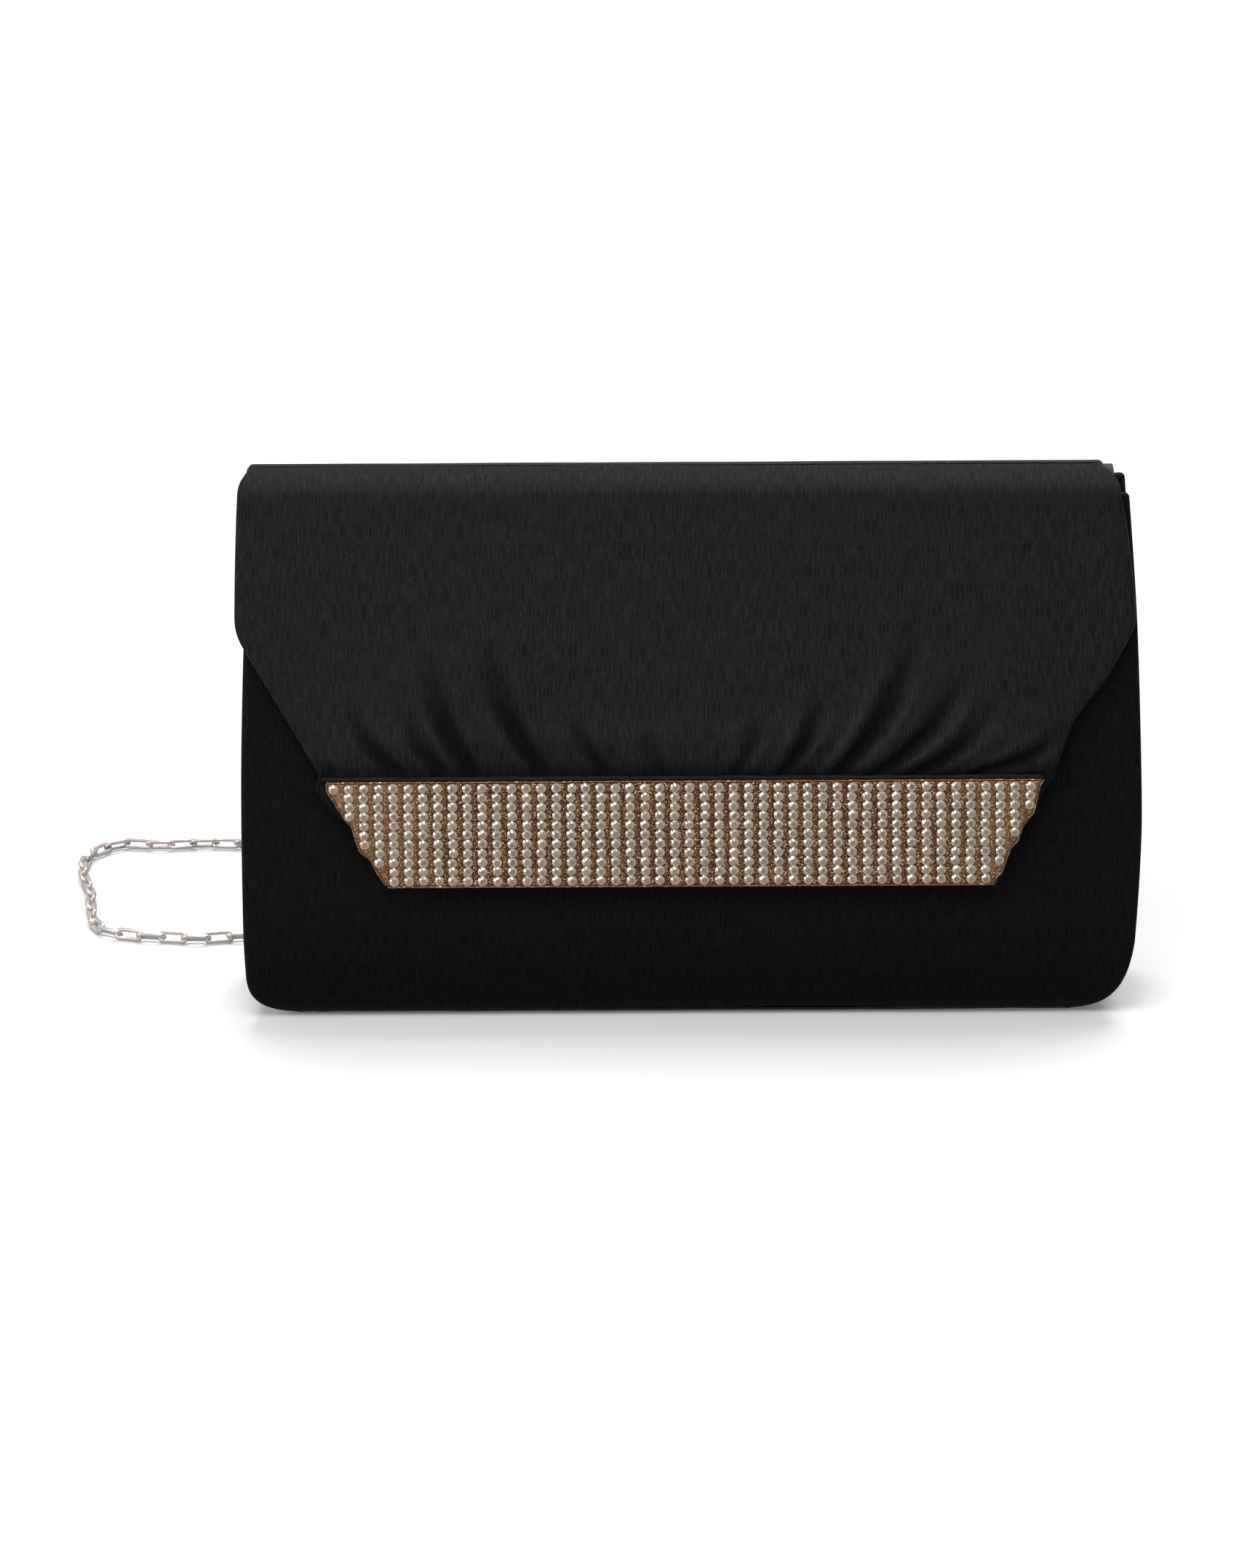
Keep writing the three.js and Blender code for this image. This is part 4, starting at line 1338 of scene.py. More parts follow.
def wall_relief(x: Array, at: Array) -> Array:
    """Soft waves and slack of the satin on the body, in millimetres outwards."""
    waves = 0.28 * soft_noise(x, at, 46.0, 60.0, 3.0) + 0.10 * soft_noise(x, at, 7.0, 34.0, 8.0)
    return waves - 0.1


# ---- Body ----
@dataclass
class BodyCloth:
    """The wrapped back and base, the front panel, the linings, the slip pocket and the gussets."""

    lining_inset: float = 3.35
    lining_edge: float = 3.0
    lining_below_lip: float = 3.2
    base_front: float = WALL.at_height(0.2, back=False)
    pocket_half: float = 62.0
    pocket: tuple[float, float] = (32.0, 98.0)
    gusset_inset: float = 1.5
    gusset_fold: float = 9.0
    gusset_top: float = 145.8

    def build(self, finishes: Finishes) -> None:
        """Makes and places every body cloth."""
        self._back(finishes)
        self._front(finishes)
        self._linings(finishes)
        self._pocket(finishes)
        for side, name in ((-1, "left"), (1, "right")):
            self._gusset(finishes, side, name)

    def _panel(self, name: str, start: float, end: float) -> TurnedCloth:
        """A wrapped wall panel between two distances along the section."""
        return TurnedCloth(
            name, WALL, start, end, body_edge(-1, 0.0), body_edge(1, 0.0), even(SIZES.wall), wall_relief,
            head=True,
        )

    def _back(self, finishes: Finishes) -> None:
        """Satin of the back and the base, wrapped over the back lip."""
        cloth = self._panel("back_wrap", WALL.length - self.base_front, WALL.length - SIZES.wall / 2)
        cloth.section = Section(WALL.points[1:-1][::-1], side=-1)
        height = cloth.section.height
        cloth.left = lambda at: OUTLINE.x(-1, height(at))
        cloth.right = lambda at: OUTLINE.x(1, height(at))
        piece = dress(cloth.build(), finishes.shaded_body_satin)
        put(piece, Slot.SATIN, Body.BAG.value, "back_cover")
        declare_sheet(piece)

    def _front(self, finishes: Finishes) -> None:
        """Satin of the front panel, from the base's front edge over the front lip."""
        cloth = self._panel("front_wrap", self.base_front, WALL.length - SIZES.wall / 2)
        piece = dress(cloth.build(), finishes.shaded_body_satin)
        put_across(piece, Slot.SATIN, "front_cover")
        declare_sheet(piece)

    def _lining_sheet(self, name: str, start: float, end: float) -> Piece:
        """A lining laid on the inside of the wall, with its edges turned under.

        Args:
            name: The object's name.
            start: Where it starts along the section.
            end: Where it ends.

        Returns:
            The sheet.
        """
        rows = np.linspace(start, end, round((end - start) / 2.5) + 1)
        left, right = body_edge(-1, self.lining_edge)(rows), body_edge(1, self.lining_edge)(rows)
        t = np.linspace(0, 1, 97)[None, :]
        x = left[:, None] + (right - left)[:, None] * t
        at = rows[:, None] + 0 * x
        ease = 0.25 * np.abs(soft_noise(x, at, 24.0, 30.0, 12.0))
        edge = np.minimum(np.minimum(x - left[:, None], right[:, None] - x), np.minimum(at - start, end - at))
        tuck = 0.3 * (1 - smooth(edge / 1.6))
        points = WALL.place(x, at, self.lining_inset + 0.2 + ease - tuck)
        return thicken(cloth_from(name, points, np.stack([x, at], axis=-1), flip=True), 0.35)

    def _linings(self, finishes: Finishes) -> None:
        """Linings of the back with the base, and of the front."""
        seam = FRONT_SEAM + 2.0
        lip = self.lining_below_lip
        rows = (
            ("back_lining_cloth", lip, seam - 1.2, Body.BAG, "back_lining"),
            ("front_lining_cloth", seam + 0.2, WALL.length - lip, Body.FRONT, "front_lining"),
        )
        for name, start, end, body, node in rows:
            piece = dress(self._lining_sheet(name, start, end), finishes.lining)
            put(piece, Slot.LINING, body.value, node)
            declare_sheet(piece)

    def _pocket(self, finishes: Finishes) -> None:
        """The slip pocket on the back lining: slack along its open top, bound there, stitched round."""
        rows = np.linspace(*self.pocket, 34)
        x = np.linspace(-self.pocket_half, self.pocket_half, 71)[None, :] + 0 * rows[:, None]
        at = rows[:, None] + 0 * x
        share = (rows - self.pocket[0])[:, None] / (self.pocket[1] - self.pocket[0])
        slack = 1.5 * (1 - smooth(share * 1.3)) * np.cos(x / self.pocket_half * math.pi / 2) ** 0.8
        inset = 4.15 + slack + 0.15 * soft_noise(x, at, 18.0, 26.0, 21.0)
        uv = np.stack([x, at], axis=-1)
        cloth = cloth_from("slip_pocket_cloth", WALL.place(x, at, inset), uv, flip=True)
        pocket = dress(thicken(cloth, 0.4), finishes.lining)
        top = WALL.place(x[0], at[0], inset[0])
        binding = dress(tube("slip_pocket_binding", top, 0.75, 10), finishes.satin)
        put(pocket, Slot.LINING, Body.BAG.value, "slip_pocket")
        put(binding, Slot.SATIN, Body.BAG.value)
        declare_sheet(pocket)

    def _gusset(self, finishes: Finishes, side: int, name: str) -> None:
        """One folding side wall, satin outside and lining inside, sewn to both walls.

        Args:
            finishes: The bag's finishes.
            side: -1 for the left, 1 for the right.
            name: The side's name.
        """
        for layer, inward, cloth, slot in (
            ("gusset", 0.0, finishes.satin, Slot.SATIN), ("gusset_lining", 0.8, finishes.lining, Slot.LINING),
        ):
            piece = dress(self._gusset_sheet(f"{name}_{layer}_cloth", side, inward), cloth)
            put_across(piece, slot, f"{name}_{layer}")
            declare_sheet(piece)

    def _gusset_sheet(self, name: str, side: int, inward: float) -> Piece:
        """A gusset layer that follows the outline and folds into the bag along its middle.

        Args:
            name: The object's name.
            side: -1 for the left, 1 for the right.
            inward: How far the layer lies inside the outer one.

        Returns:
            The sheet.
        """
        edge = OUTLINE.edges[side]
        edge = edge[(edge[:, 1] < self.gusset_top)]
        edge = edge[np.argsort(edge[:, 1])]
        deep = np.column_stack([edge[:, 0], np.zeros(len(edge)), edge[:, 1]])
        points, along = even_points(deep, 90)
        inside = np.stack([-along[:, 2], along[:, 0]], axis=1) * side
        base = points[:, [0, 2]] + inside * (self.gusset_inset + inward)
        heights = np.maximum(base[:, 1], 3.7)
        half_wall = WALL.points[1: len(WALL.points) // 2]
        inner = half_wall + WALL.inward[1: len(WALL.points) // 2] * (SIZES.wall + 0.25)
        order = np.argsort(inner[:, 1])
        half = np.interp(heights, inner[order, 1], inner[order, 0]) - inward * 0.5
        fold = (self.gusset_fold - inward) * smooth((heights - 10) / 90)
        across = np.linspace(-1, 1, 31)
        tab = 5.0
        rows = []
        for (x, _), z, h, f, way in zip(base, heights, half, fold, inside):
            depth = f * (1 - np.abs(across)) ** 0.85
            row = np.stack([x + way[0] * depth, across * h, z + way[1] * depth], axis=1)
            ends = [row[k] + np.array([way[0], 0, way[1]]) * tab for k in (0, -1)]
            rows.append(np.vstack([ends[0], row, ends[1]]))
        grid = np.array(rows)
        width = np.cumsum(np.linalg.norm(np.diff(grid, axis=1, prepend=grid[:, :1]), axis=2), axis=1)
        width -= width[:, -1:] / 2
        run = np.linspace(0, float(np.linalg.norm(np.diff(points, axis=0), axis=1).sum()), len(points))
        uv = np.stack([width, run[:, None] + 0 * width], axis=-1)
        return thicken(cloth_from(name, grid, uv, flip=side > 0), 0.4)


# ---- Flap ----
@dataclass(frozen=True)
class Pleat:
    """A soft fold pressed into the flap, from the crystal bar upwards and outwards."""

    foot: tuple[float, float]
    head: tuple[float, float]
    depth: float = 1.0
    width: float = 1.7
    stretch: float = 1.2
    bow: float = 0.08

    def _measure(self, x: Array, y: Array) -> tuple[Array, Array]:
        """Where points are, seen from the pleat.

        Args:
            x: Across the flap.
            y: Up from the front fold, so below zero.

        Returns:
            Distance off the pleat in pleat widths, and how much of the pleat is left there.
        """
        foot, head = np.array(self.foot), np.array(self.head)
        way = head - foot
        size = float(np.hypot(*way)) * self.stretch
        way = way * self.stretch / size
        along = ((x - foot[0]) * way[0] + (y - foot[1]) * way[1]) / size
        off = (x - foot[0]) * way[1] - (y - foot[1]) * way[0]
        off = off - self.bow * size * np.sin(np.clip(along, 0, 1) * math.pi) * np.sign(way[0])
        width = self.width * (0.75 + 0.9 * np.clip(along, 0, 1))
        return off / width, smooth((1.0 - along) / 0.75) * smooth((along + 0.35) / 0.3)

    def relief(self, x: Array, y: Array) -> Array:
        """Its height over the flat flap, in millimetres: a valley between two low ridges."""
        off, left = self._measure(x, y)
        ridges = np.exp(-((off - 2) ** 2)) + np.exp(-((off + 2) ** 2))
        return self.depth * left * (0.8 * ridges - 1.8 * np.exp(-(off**2)))

    def shadow(self, x: Array, y: Array) -> Array:
        """How deep in the valley points are, from 0 to 1; it sets the pleat's painted shade."""
        off, left = self._measure(x, y)
        return np.clip(self.depth, 0, 1) * left * np.exp(-((off / 1.15) ** 2))


PLEATS = (
    Pleat((-97, -77), (-103, -71), 0.7, 1.2), Pleat((-79, -77), (-93, -59), 1.1),
    Pleat((-67.5, -77), (-77, -60), 0.9), Pleat((-59, -77), (-69.5, -46), 1.3, 2.0),
    Pleat((-40, -77), (-53, -42), 1.4, 2.2), Pleat((-22, -77), (-31, -62), 0.9),
    Pleat((-8, -77), (-11, -64), 0.5, 2.2), Pleat((12.5, -77), (18, -62), 0.6),
    Pleat((25.5, -77), (35, -56), 1.1), Pleat((41, -77), (60, -40), 1.5, 2.1),
    Pleat((52, -77), (74, -50), 1.2, 1.8), Pleat((62.5, -77), (82, -60), 1.0),
    Pleat((80, -77), (104, -64), 1.0, 1.4),
)


@dataclass
class FlapCloth:
    """The satin that runs from the back wall over both folds and down the flap, and its linings."""

    crown: tuple[float, float] = (-2.35, 154.3)
    overlap_z: float = 139.5  # lower edge of the satin lapped onto the back wall
    lap: float = 0.45
    crown_depth: float = 4.6
    tab_half: float = 4.6
    left_top: float = -123.6
    right_top: float = 118.0
    left_crown_in: float = 2.4
    right_crown_in: float = 4.4

    def __post_init__(self) -> None:
        """Draws the profiles and the flap's edges."""
        s = SIZES
        wall = [(s.wall_y(z) + self.lap, z) for z in (self.overlap_z, 142.0, 144.5, 146.6)]
        over = [(12.15, 148.8), (11.0, 150.4), (9.3, 151.35), (7.0, 152.1), (4.0, 153.3), (1.0, 154.03)]
        self.back = Section(spline([*wall, *over, self.crown]), side=-1)
        start = FLAP_ORIGIN - 3.5 * FLAP_UP + s.flap_face * FLAP_OUT
        foot = FLAP_ORIGIN + s.bar_bottom * FLAP_UP + s.flap_face * FLAP_OUT
        fore = [(-6, 153.97), (-9, 153.25), (-11.5, 152.3), (-13.6, 151.1), (-15.25, 149.7), (-16.25, 147.9)]
        roll = spline([self.crown, *fore, tuple(start)])
        self.front = Section(np.vstack([roll, np.linspace(start, foot, 60)[1:]]), side=-1)
        self.fold_at = self.front.length + s.bar_bottom
        left = [
            (s.bar_bottom_left, s.bar_bottom), (-93.0, -92.6), (-98.8, -87.6), (-103.3, -81.4),
            (-102.2, -77.4), (-122.2, -42.6),
        ]
        left_top = [bezier([(-122.2, -42.6), (-124.8, -38.5), (-124.8, -34)])[1:],
                    bezier([(-124.8, -34), (-124.6, -20), (self.left_top, -0.5)])[1:]]
        self.left_edge = np.vstack([left, *left_top])
        right = [(s.bar_bottom_right, s.bar_bottom), (97.9, -81.6), (99.9, -79.3)]
        bend = spline([(99.9, -79.3), (105.6, -63.3), (114.2, -51.8), (121.4, -38.6)])[1:]
        right_top = [bezier([(121.4, -38.6), (122.6, -36), (122, -31)])[1:],
                     bezier([(122, -31), (120.6, -12), (self.right_top, -0.5)])[1:]]
        self.right_edge = np.vstack([right, bend, *right_top])

    def flap_x(self, side: int, at: Array, inset: float = 0.0) -> Array:
        """An edge of the flap's satin.

        Args:
            side: -1 for the left edge, 1 for the right.
            at: Distance from the crown along the profile.
            inset: Distance inside the edge.

        Returns:
            X of the edge.
        """
        edge = self.left_edge if side < 0 else self.right_edge
        x = np.interp(self.fold_at - at, edge[:, 1], edge[:, 0])
        crown_in = self.left_crown_in if side < 0 else self.right_crown_in
        return x - side * (inset + crown_in * (1 - smooth((at + 3.0) / (self.fold_at + 1.0))))

    def back_x(self, side: int, at: Array) -> Array:
        """An edge of the satin over the back fold, by distance from its lapped edge."""
        low = OUTLINE.x(side, np.array(self.overlap_z)) - side * 1.0
        crown = self.flap_x(side, np.array(0.0))
        return low + (crown - low) * smooth((at - 1.0) / 8.0)

    def relief(self, x: Array, at: Array) -> Array:
        """Gathers, slack and crinkles of the flap's satin.

        Args:
            x: Across the bag.
            at: Distance from the crown.

        Returns:
            Millimetres outwards.
        """
        y = self.fold_at - at
        pleats = sum(pleat.relief(x, y) for pleat in PLEATS)
        across = smooth((105 - np.abs(x)) / 22)
        puff = (1.5 * np.exp(-(((y + 69.5) / 7.5) ** 2)) + 0.7 * np.exp(-(((y + 56) / 16.0) ** 2))) * across
        under_bar = smooth((-76.6 - y) / 2.4)
        waves = 0.30 * soft_noise(x, at, 52.0, 44.0, 2.0) + 0.10 * soft_noise(x, at, 6.0, 30.0, 5.0)
        lifted = np.maximum(pleats + puff + waves, -0.55)
        return lifted * (1 - under_bar) - 0.55 * under_bar

    def lap_relief(self, x: Array, at: Array) -> Array:
        """Slack of the satin over the back fold, raised over the two ring tabs."""
        off = np.abs(np.abs(x) - SIZES.hardware_x)
        tabs = smooth((self.tab_half + 1.8 - off) / 2.4) * smooth((8.5 - at) / 4)
        return 1.55 * tabs + 0.08 * soft_noise(x, at, 30.0, 20.0, 7.0)

    def build(self, finishes: Finishes) -> None:
        """Makes and places the satin and the linings of both folds and the flap."""
        self._fold_satin(finishes)
        self._flap_satin(finishes)
        self._fold_lining(finishes)
        self._flap_lining(finishes)
        self._lap_stitches(finishes)

    def _fold_satin(self, finishes: Finishes) -> None:
        """Satin from its seam on the back wall, over the back fold, to the crown."""
        stops = [0.0, 9.0, 14.0, 19.0, self.back.length]
        depth = [0.3, 0.45, 1.6, 2.6, self.crown_depth]
        cloth = TurnedCloth(
            "fold_satin", self.back, 0.0, self.back.length, lambda at: self.back_x(-1, at),
            lambda at: self.back_x(1, at), lambda at: np.interp(at, stops, depth), self.lap_relief, step=0.8,
        )
        piece = dress(thicken(cloth.build(), 0.3, -1.0), finishes.satin)
        put_across(piece, Slot.SATIN, "fold_cover")
        declare_sheet(piece)

    def _flap_satin(self, finishes: Finishes) -> None:
        """Satin from the crown, over the front fold, gathered down to the crystal bar."""
        fold = self.fold_at
        cloth = TurnedCloth(
            "flap_satin", self.front, 0.0, self.front.length - SIZES.flap_thick / 2,
            lambda at: self.flap_x(-1, at), lambda at: self.flap_x(1, at),
            lambda at: np.interp(at, [0.0, fold, fold + 5], [self.crown_depth, 2.9, SIZES.flap_thick]),
            self.relief, head=True, step=1.0, across=1.25,
        )
        piece = dress(cloth.build(), finishes.satin)
        self._mark_fold_shade(piece)
        put_across(piece, Slot.SATIN, "flap_cover")
        declare_sheet(piece)

    def _mark_fold_shade(self, piece: Piece) -> None:
        """Stores painted shade for each corner of the satin's faces: deep in the pleats, just above the
        crystal bar and over the top fold.
        """
        mesh = piece.data
        uv = np.zeros(len(mesh.loops) * 2, np.float32)
        mesh.uv_layers[0].data.foreach_get("uv", uv)
        corners = np.zeros(len(mesh.loops), np.int32)
        mesh.loops.foreach_get("vertex_index", corners)
        places = np.zeros(len(mesh.vertices) * 3, np.float32)
        mesh.vertices.foreach_get("co", places)
        x = places.reshape(-1, 3)[corners, 0] / MM
        y = self.fold_at - uv.reshape(-1, 2)[:, 1] / MM
        # painted shade: the pleat valleys, plus darkening just above the bar and over the top fold
        depth = 1.15 * sum(pleat.shadow(x, y) for pleat in PLEATS)
        depth = depth + 0.9 * smooth((-72.5 - y) / 5.5) + 0.5 * smooth((y + 7.0) / 7.0)
        marks = mesh.attributes.new("fold", "FLOAT", "CORNER")
        marks.data.foreach_set("value", np.clip(depth, 0, 1).astype(np.float32))

    def _lining_of(self, name: str, section: Section, left: Line, right: Line, seed: float) -> Piece:
        """A lining along a profile.

        Args:
            name: The object's name.
            section: The profile that it follows.
            left: Its left edge by distance along the profile.
            right: Its right edge.
            seed: Seed of its waves.

        Returns:
            The sheet.
        """
        rows = np.linspace(0, section.length, round(section.length / 1.2) + 1)
        t = np.linspace(0, 1, 101)[None, :]
        x = left(rows)[:, None] + (right(rows) - left(rows))[:, None] * t
        at = rows[:, None] + 0 * x
        waves = 0.12 * soft_noise(x, at, 24.0, 30.0, seed)
        return thicken(cloth_from(name, section.place(x, at, waves), np.stack([x, at], axis=-1)), 0.3)

    def _fold_lining(self, finishes: Finishes) -> None:
        """Lining from inside the back wall to the middle of the top strip."""
        s = SIZES
        low = [(s.wall_y(z) - 4.35, z) for z in (139.0, 143.0, 146.2)]
        over = [(7.5, 148.3), (6.0, 149.1), (2.5, 149.3), (self.crown[0], 149.3)]
        section = Section(spline([*low, *over]), side=-1)
        piece = self._lining_of(
            "fold_lining_cloth", section, even(self.left_top + 4.4), even(self.right_top - 4.4), 31.0,
        )
        dress(piece, finishes.lining)
        put_across(piece, Slot.LINING, "fold_lining")
        declare_sheet(piece)

    def _flap_lining(self, finishes: Finishes) -> None:
        """Lining from the middle of the top strip down the inside of the flap."""
        inner = 0.2
        start = FLAP_ORIGIN - 3.0 * FLAP_UP + inner * FLAP_OUT
        foot = FLAP_ORIGIN + (SIZES.bar_bottom + 2.2) * FLAP_UP + inner * FLAP_OUT
        roll = spline([(self.crown[0], 149.3), (-7.0, 149.3), (-10.8, 149.2), (-12.5, 148.6), tuple(start)])
        section = Section(np.vstack([roll, np.linspace(start, foot, 50)[1:]]), side=-1)
        shift = self.front.length - (section.length + 2.2)

        def edge(side: int) -> Line:
            """An edge of the lining, inside the satin's."""
            return lambda at: self.flap_x(side, at + shift, 2.6)

        piece = dress(self._lining_of("flap_lining_cloth", section, edge(-1), edge(1), 33.0), finishes.lining)
        put_across(piece, Slot.LINING, "flap_lining")
        declare_sheet(piece)

    def _lap_stitches(self, finishes: Finishes) -> None:
        """The row of stitches that holds the lapped satin to the back wall."""
        x = np.arange(-115.0, 114.0, 3.2)
        at = np.full_like(x, 2.2)
        lift = self.lap_relief(x, at)
        points = self.back.place(x, at, -lift - 0.05)
        outward = points - self.back.place(x, at, 1.0 - lift)
        along = np.gradient(points, axis=0)
        piece = Repeat("lap_stitches", stitch("stitch_shape"), finishes.thread, 0.06, 0.03, seed=11).build(
            points, along, outward,
        )
        put(piece, Slot.SATIN, Body.BAG.value)


def stitch(name: str, length: float = 2.3, radius: float = 0.2) -> Piece:
    """One short stitch along X that dips into the cloth at both ends."""
    x = np.linspace(-length / 2, length / 2, 7)
    path = np.stack([x, 0 * x, 0.12 - 0.3 * (2 * x / length) ** 4], axis=1)
    return tube(name, path, radius, 6)


# ---- Crystal bar ----
@dataclass
class CrystalBar:
    """Columns of small crystals on glitter cloth, with turned gold edges and a roll of satin above."""

    pitch_x: float = 4.07
    pitch_y: float = 2.58
    rows: int = 11
    inset_top: float = 0.5
    first_column: float = 2.0
    stone: float = 1.36
    ground: float = 3.75
    ridge: float = 0.6
    seed: int = 7

    left_steps: tuple[tuple[float, float], ...] = (
        (0.08, 1.3), (0.35, 0.8), (0.42, 0.1), (0.66, 1.9), (0.73, 0.2), (0.87, 0.5),
    )
    right_steps: tuple[tuple[float, float], ...] = (
        (0.05, -0.3), (0.33, 1.5), (0.37, 0.6), (0.47, 0.1),
        (0.58, 0.7), (0.66, -0.5), (0.88, 0.3), (0.93, -0.7),
    )

    def edge_x(self, side: int, y: Array) -> Array:
        """A slanting, softly stepped end of the bar at heights on the flap."""
        s = SIZES
        top, bottom, steps = s.bar_top_right, s.bar_bottom_right, self.right_steps
        if side < 0:
            top, bottom, steps = s.bar_top_left, s.bar_bottom_left, self.left_steps
        down = (s.bar_top - y) / (s.bar_top - s.bar_bottom)
        places, out = zip((0.0, 0.0), *steps, (1.0, 0.0))
        return top + (bottom - top) * down + side * np.interp(down, places, out)

    def columns(self) -> list[tuple[float, int]]:
        """Each column's place and how many stones fit between the slanting ends."""
        s = SIZES
        found = []
        x = s.bar_top_left + self.first_column
        while x < s.bar_top_right - self.stone:
            count = 0
            while count < self.rows:
                y = s.bar_top - self.inset_top - (count + 0.75) * self.pitch_y
                if x - self.stone < self.edge_x(-1, y) - 0.75 or x + self.stone > self.edge_x(1, y) + 0.75:
                    break
                count += 1
            if count:
                found.append((x, count))
            x += self.pitch_x
        return found

    def build(self, finishes: Finishes) -> None:
        """Makes the bar's pieces on the flap."""
        made = [
            (self._ground(finishes), Slot.GLITTER, ["bar_backing"]),
            (self._stones(finishes), Slot.CRYSTAL, ["crystal_field"]),
            (self._edge("bar_top_edge", SIZES.bar_top - 0.05, finishes), Slot.GOLD, ["bar_top_trim"]),
            (self._edge("bar_foot_edge", SIZES.bar_bottom + 0.1, finishes), Slot.GOLD, ["bar_foot_trim"]),
            (self._end("bar_left_edge", -1, finishes), Slot.GOLD, []),
            (self._end("bar_right_edge", 1, finishes), Slot.GOLD, []),
            (self._roll(finishes), Slot.SATIN, []),
        ]
        for piece, slot, nodes in made:
            put(piece, slot, Body.FLAP.value, *nodes)
        declare_sheet(made[0][0])

    def _ground(self, finishes: Finishes) -> Piece:
        """Glitter cloth with a low rough ridge between each two columns of stones."""
        s = SIZES
        rng = np.random.default_rng(self.seed)
        y = np.linspace(s.bar_top - 0.1, s.bar_bottom + 0.15, 76)[:, None]
        left, right = self.edge_x(-1, y) + 0.1, self.edge_x(1, y) - 0.1
        x = left + (right - left) * np.linspace(0, 1, 520)[None, :]
        phase = (x - s.bar_top_left - self.first_column) / self.pitch_x
        ridge = np.clip(0.5 - 0.5 * np.cos(2 * math.pi * phase), 0, 1) ** 1.6
        z = self.ground + self.ridge * ridge + rng.uniform(-0.13, 0.13, x.shape)
        z[[0, -1], :] = s.flap_face + 0.05
        z[:, [0, -1]] = s.flap_face + 0.05
        grid = on_flap(np.stack([x, y + 0 * x, z], axis=-1))
        cloth = cloth_from("glitter_ground", grid, np.stack([x, y + 0 * x], axis=-1), flip=True)
        return dress(cloth, finishes.glitter)

    def _stone_shape(self) -> Piece:
        """A cut stone: eight-sided table, crown facets and a girdle, its table towards Z."""
        r = self.stone
        levels = [(0.52 * r, 0.85, 8, 0.5), (1.00 * r, 0.38, 16, 0.0), (0.94 * r, 0.0, 16, 0.0)]
        points: list[tuple[float, float, float]] = []
        for radius, height, sides, shift in levels:
            for k in range(sides):
                angle = 2 * math.pi * (k + shift) / sides
                points.append((radius * math.cos(angle), radius * math.sin(angle), height))
        faces = [list(range(8)), list(range(24, 40))]
        for k in range(8):
            table, other = k, (k + 1) % 8
            girdle = [8 + (2 * k + j) % 16 for j in range(3)]
            faces += [[table, girdle[0], girdle[1]], [table, girdle[1], girdle[2]], [table, girdle[2], other]]
        for k in range(16):
            a, b = 8 + k, 8 + (k + 1) % 16
            faces.append([a, b, b + 16, a + 16])
        shape = shell_from("stone_shape", points, faces)
        marks = shape.data.attributes.new("table", "FLOAT", "FACE")
        for face, mark in zip(shape.data.polygons, marks.data):
            mark.value = float(len(face.vertices) == 8)
        return shape

    def _stones(self, finishes: Finishes) -> Piece:
        """Every crystal, each turned and tipped a little in its own way."""
        rng = np.random.default_rng(self.seed + 1)
        first = SIZES.bar_top - self.inset_top
        flat = np.array([
            (x, first - (row + 0.5) * self.pitch_y, self.ground + 0.05)
            for x, count in self.columns() for row in range(count)
        ])
        flat += rng.normal(0.0, [0.10, 0.06, 0.04], flat.shape)
        tips = np.column_stack([rng.normal(0.0, 0.06, (len(flat), 2)), np.ones(len(flat))])
        points = on_flap(flat)
        up = on_flap(flat + tips) - points
        forward = np.repeat([[1.0, 0.0, 0.0]], len(flat), 0)
        stone = self._stone_shape()
        maker = Repeat("crystal_stones", stone, finishes.crystal, 0.035, math.pi, seed=self.seed)
        log.info("crystal bar: %d stones", len(flat))
        return maker.build(points, forward, up, flat=True)

    def _edge(self, name: str, y: float, finishes: Finishes) -> Piece:
        """A turned edge along the bar's top or foot."""
        x = np.arange(float(self.edge_x(-1, np.array(y))), float(self.edge_x(1, np.array(y))), 0.7)
        return self._rolled(name, np.stack([x, np.full_like(x, y), 0 * x + 3.85], axis=1), finishes)

    def _end(self, name: str, side: int, finishes: Finishes) -> Piece:
        """A turned edge down one slanting end."""
        y = np.arange(SIZES.bar_top, SIZES.bar_bottom, -0.7)
        return self._rolled(name, np.stack([self.edge_x(side, y), y, 0 * y + 3.8], axis=1), finishes)

    def _rolled(self, name: str, line: Array, finishes: Finishes) -> Piece:
        """A rough thin roll of glitter cloth along a line on the flap."""
        rng = np.random.default_rng(len(name))
        line = line + rng.uniform(-0.07, 0.07, line.shape)
        return dress(tube(name, on_flap(line), 0.3, 8), finishes.gold_edge)

    def _roll(self, finishes: Finishes) -> Piece:
        """A thin roll of black satin that closes the gathers above the bar."""
        x = np.arange(SIZES.bar_top_left - 1.2, SIZES.bar_top_right + 0.8, 1.2)
        wave = 0.12 * soft_noise(x, 0 * x, 9.0, 9.0, 4.0)
        line = np.stack([x, SIZES.bar_top + 0.85 + wave, 0 * x + 3.3 + wave], axis=1)
        return dress(tube("bar_satin_roll", on_flap(line), 0.72, 12), finishes.satin)


